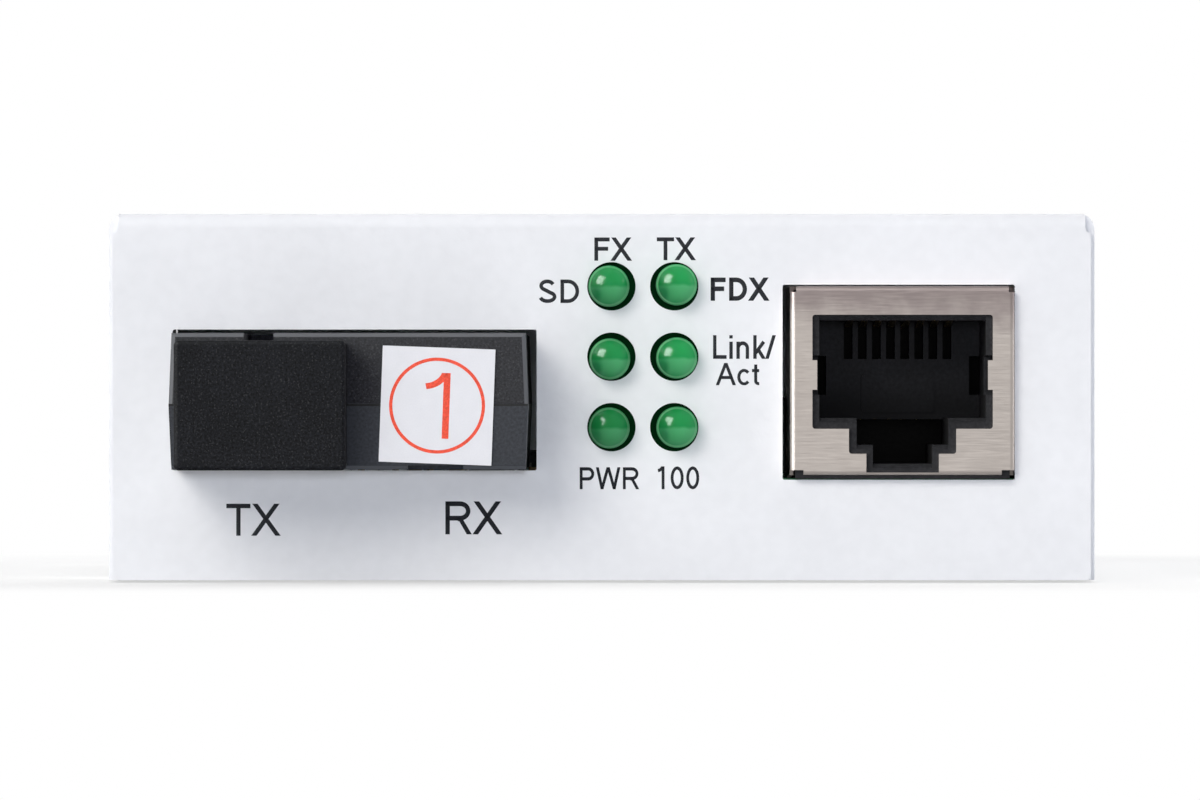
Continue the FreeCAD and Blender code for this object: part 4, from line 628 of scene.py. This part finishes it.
# a word of round strokes lying on the floor plane, one cap height tall
def drawWord(name, words, stroke):
    bpy.ops.object.select_all(action="DESELECT")
    bpy.ops.curve.primitive_nurbs_path_add()
    piece = bpy.context.object
    piece.name = name
    data = piece.data
    data.splines.clear()
    data.dimensions = "3D"
    data.bevel_depth = stroke / 2
    data.bevel_resolution = 1
    data.use_fill_caps = True
    shift = 0.0
    for sign in words:
        width, lines = signs[sign]
        for line in lines(stroke / 2):
            run = data.splines.new("POLY")
            run.points.add(len(line) - 1)
            for point, (x, y) in zip(run.points, line):
                point.co = (x + shift, y, 0, 1)
            run.use_smooth = False
        shift += width
    bpy.ops.object.convert(target="MESH")
    piece = bpy.context.object
    bpy.ops.object.mode_set(mode="EDIT")
    for height, outward in ((0.0, -1), (1.0, 1)):
        bpy.ops.mesh.select_all(action="SELECT")
        bpy.ops.mesh.bisect(plane_co=(0, height, 0), plane_no=(0, outward, 0),
                            use_fill=True, clear_outer=True)
    bpy.ops.mesh.select_all(action="SELECT")
    bpy.ops.mesh.normals_make_consistent(inside=False)
    bpy.ops.object.mode_set(mode="OBJECT")
    return piece


# stands a piece up facing the front, stretched into a box in metres and tilted clockwise in degrees;
# half of its thickness sinks into the front, the film stands out
def standUp(piece, left, right, bottom, top, front, film, tilt=0.0):
    low = Vector(map(min, *[vertex.co for vertex in piece.data.vertices]))
    high = Vector(map(max, *[vertex.co for vertex in piece.data.vertices]))
    for vertex in piece.data.vertices:
        vertex.co -= (low + high) / 2
    piece.scale = ((right - left) / (high.x - low.x), (top - bottom) / (high.y - low.y),
                   2 * film / (high.z - low.z))
    piece.rotation_euler = (math.radians(90), math.radians(tilt), 0)
    piece.location = ((left + right) / 2, front, (bottom + top) / 2)
    bpy.ops.object.select_all(action="DESELECT")
    piece.select_set(True)
    bpy.context.view_layer.objects.active = piece
    bpy.ops.object.transform_apply(location=True, rotation=True, scale=True)


ink = {
    "gloss": 0.12,
    "grainSize": 0.12,   # mm
    "dark": 0.85,
    "light": 1.2,
}


# ink takes on the orange peel of the coat
def makeInk(name, colour, roughness):
    material, tree, shader = startMaterial(name)
    points = objectPoints(tree)
    fine = grain(tree, points, ink["grainSize"])
    tone = blendColours(tree, fine, shade(colour, ink["dark"]), shade(colour, ink["light"]))
    tree.links.new(tone, shader.inputs["Base Color"])
    tree.links.new(spread(tree, fine, *roughness), shader.inputs["Roughness"])
    shader.inputs["Specular IOR Level"].default_value = ink["gloss"]
    relief(tree, shader, peelGrain(tree, points), coat["peelDepth"])
    return material


# words by place: what each says, its left, right, bottom and top on the panel and its stroke, in mm
legends = {
    "colour": (0.014, 0.015, 0.019),
    "roughness": (0.45, 0.58),
    "film": 0.015,       # mm above the coat
    "words": {
        "legendTopLeft": ("FX", -0.53, 2.15, 22.66, 24.31, 0.28),
        "legendTopRight": ("TX", 3.90, 6.68, 22.70, 24.32, 0.28),
        "legendRowOneLeft": ("SD", -4.46, -1.61, 19.66, 21.33, 0.27),
        "legendRowOneRight": ("FDX", 7.72, 11.90, 19.82, 21.47, 0.33),
        "legendRowTwoA": ("Link/", 7.89, 12.35, 15.70, 17.38, 0.265),
        "legendRowTwoB": ("Act", 8.08, 11.18, 13.83, 15.41, 0.225),
        "legendPower": ("PWR", -1.57, 2.66, 6.45, 8.01, 0.235),
        "legendSpeed": ("100", 3.96, 6.91, 6.45, 8.07, 0.235),
        "legendPortLeft": ("TX", -26.64, -22.78, 3.15, 5.42, 0.32),
        "legendPortRight": ("RX", -11.10, -7.06, 3.25, 5.59, 0.34),
    },
}
inkBlack = makeInk("legendInk", legends["colour"], legends["roughness"])
for name, (words, left, right, bottom, top, stroke) in legends["words"].items():
    piece = drawWord(name, words, stroke / (top - bottom))
    standUp(piece, left * mm, right * mm, bottom * mm, top * mm, panelFront, legends["film"] * mm)
    piece.data.materials.append(inkBlack)
    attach(piece, "converter")
print("legends ready")

stickerPrint = {
    "colour": (0.80, 0.085, 0.045),
    "roughness": (0.55, 0.68),
    "ringRadius": 3.36,      # mm, outside
    "ringWidth": 0.23,
    "numeralHeight": 4.6,
    "numeralWidth": 1.75,
    "numeralStroke": 0.42,
    "tilt": 2.1,             # degrees clockwise
    "film": 0.010,
}


# a flat ring: a disc's rim, inset and its middle taken out, then given thickness
def makeRing():
    bpy.ops.object.select_all(action="DESELECT")
    bpy.ops.mesh.primitive_circle_add(vertices=96, radius=1, fill_type="NGON")
    ring = bpy.context.object
    ring.name = "stickerRing"
    bpy.ops.object.mode_set(mode="EDIT")
    bpy.ops.mesh.select_all(action="SELECT")
    bpy.ops.mesh.inset(thickness=stickerPrint["ringWidth"] / stickerPrint["ringRadius"])
    bpy.ops.mesh.delete(type="FACE")
    bpy.ops.mesh.select_all(action="SELECT")
    bpy.ops.mesh.extrude_region_move(TRANSFORM_OT_translate={"value": (0, 0, 1)})
    bpy.ops.mesh.select_all(action="SELECT")
    bpy.ops.mesh.normals_make_consistent(inside=False)
    bpy.ops.object.mode_set(mode="OBJECT")
    return ring


low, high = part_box("module_sticker")
middle = (low + high) / 2
redInk = makeInk("stickerRed", stickerPrint["colour"], stickerPrint["roughness"])
numeral = drawWord("stickerNumeral", "1", stickerPrint["numeralStroke"] / stickerPrint["numeralHeight"])
ringWide = stickerPrint["ringRadius"] * 2
for piece, width, height in (
    (makeRing(), ringWide, ringWide),
    (numeral, stickerPrint["numeralWidth"], stickerPrint["numeralHeight"]),
):
    standUp(piece, middle.x - width / 2 * mm, middle.x + width / 2 * mm, middle.z - height / 2 * mm,
            middle.z + height / 2 * mm, low.y, stickerPrint["film"] * mm, stickerPrint["tilt"])
    piece.data.materials.append(redInk)
    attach(piece, "converter")
print("sticker print ready")

studio = {
    "floorSize": 8,          # m
    "floorDrop": 0.2,        # mm under the case
    "floorRoughness": 0.8,
    "floorGloss": 0.1,
    "floorGrain": 40.0,      # mm
    "floorUneven": 0.99,     # the darkest grain, as a share of its tone
    "floorSeen": 0.88,       # the floor's tone to the camera, beside the case
    "floorBounce": 0.48,     # and to the light that it throws back
    "floorWhiteNear": 0.60,  # how far the floor is seen as plain white, beside the case
    "white": (3, 45),        # mm from the case, where it turns plain white
    "skyColour": (0.90, 0.96, 1.12),
    "skyStrength": 0.150,
}
# name: place and aim in m, size in m, power in W, colour, seen in gloss, lights surfaces
lights = {
    "keyLight": ((-0.49, -1.02, 0.52), (0, -0.05, 0.013), 0.58, 7.2, (1.045, 1.01, 0.945), False, True),
    "frontLight": ((0.0, -1.65, 0.06), (0, -0.05, 0.013), 0.12, 7.9, (0.945, 0.985, 1.09), False, True),
    "glintLight": ((-0.78, -0.60, 0.58), (0, -0.05, 0.013), 0.80, 84.0, (0.97, 1, 0.98), True, False),
    "topLight": ((0.0, -0.02, 1.0), (0, -0.02, 0.0), 0.42, 2.0, (1, 1, 1), False, True),
    "leftLight": ((-0.95, 0.28, 0.40), (0, 0, 0.01), 0.45, 2.0, (1, 1, 1), True, True),
    "rightLight": ((1.0, 0.22, 0.26), (0, 0, 0.01), 0.45, 7.5, (1, 1, 1), True, True),
    "backLight": ((0.1, 0.75, 0.95), (0, 0.03, 0.01), 0.5, 3.8, (1, 1, 1), False, True),
}


# rays straight from the camera, and the same with glossy and see-through ones added
def whiteRays(tree):
    path = tree.nodes.new("ShaderNodeLightPath")
    gloss = combine(tree, "MAXIMUM", path.outputs["Is Glossy Ray"], path.outputs["Is Transmission Ray"])
    return path.outputs["Is Camera Ray"], combine(tree, "MAXIMUM", path.outputs["Is Camera Ray"], gloss)


def joinShaders(tree, share, first, second):
    mix = tree.nodes.new("ShaderNodeMixShader")
    tree.links.new(share, mix.inputs["Fac"])
    tree.links.new(first, mix.inputs[1])
    tree.links.new(second, mix.inputs[2])
    return mix.outputs["Shader"]


def makeFloor():
    bpy.ops.object.select_all(action="DESELECT")
    bpy.ops.mesh.primitive_plane_add(size=studio["floorSize"], location=(0, 0, -studio["floorDrop"] * mm))
    floor = bpy.context.object
    floor.name = "studioFloor"
    material, tree, shader = startMaterial("paleFloor")
    points = objectPoints(tree)
    seen, white = whiteRays(tree)
    fine = grain(tree, points, studio["floorGrain"])
    tone = studio["floorSeen"]
    clean = blendColours(tree, fine, (tone * studio["floorUneven"],) * 3, (tone,) * 3)
    tree.links.new(mixColours(tree, seen, (studio["floorBounce"],) * 3, clean), shader.inputs["Base Color"])
    shader.inputs["Roughness"].default_value = studio["floorRoughness"]
    shader.inputs["Specular IOR Level"].default_value = studio["floorGloss"]
    outside = []    # how far the floor lies beside and in front of the case
    for value, limit in zip(splitPoints(tree, points), (cadHigh.x, cadHigh.y)):
        beyond = combine(tree, "SUBTRACT", combine(tree, "ABSOLUTE", value), limit)
        outside.append(combine(tree, "MAXIMUM", beyond, 0.0))
    share = between(tree, diagonal(tree, *outside), studio["floorWhiteNear"], 1.0, studio["white"])
    glow = tree.nodes.new("ShaderNodeEmission")
    glow.inputs["Color"].default_value = (1, 1, 1, 1)
    both = joinShaders(tree, combine(tree, "MULTIPLY", share, white), shader.outputs["BSDF"],
                       glow.outputs["Emission"])
    tree.links.new(both, tree.nodes["Material Output"].inputs["Surface"])
    floor.data.materials.append(material)


def makeWorld():
    world = bpy.context.scene.world or bpy.data.worlds.new("studioWorld")
    bpy.context.scene.world = world
    world.use_nodes = True
    tree = world.node_tree
    tree.nodes.clear()
    sky = tree.nodes.new("ShaderNodeBackground")
    sky.inputs["Color"].default_value = (*studio["skyColour"], 1)
    sky.inputs["Strength"].default_value = studio["skyStrength"]
    plain = tree.nodes.new("ShaderNodeBackground")
    plain.inputs["Color"].default_value = (1, 1, 1, 1)
    both = joinShaders(tree, whiteRays(tree)[1], sky.outputs["Background"], plain.outputs["Background"])
    output = tree.nodes.new("ShaderNodeOutputWorld")
    tree.links.new(both, output.inputs["Surface"])


def makeLight(name, place, aim, size, power, colour, gloss, diffuse):
    bpy.ops.object.light_add(type="AREA", location=place)
    lamp = bpy.context.object
    lamp.name = name
    lamp.data.shape = "SQUARE"
    lamp.data.size = size
    lamp.data.energy = power
    lamp.data.color = colour
    lamp.rotation_euler = (Vector(aim) - Vector(place)).to_track_quat("-Z", "Y").to_euler()
    lamp.visible_camera = False
    lamp.visible_glossy = gloss
    lamp.visible_diffuse = diffuse


makeFloor()
makeWorld()
for name, values in lights.items():
    makeLight(name, *values)
bpy.context.scene.view_settings.view_transform = "Standard"
print("studio ready")
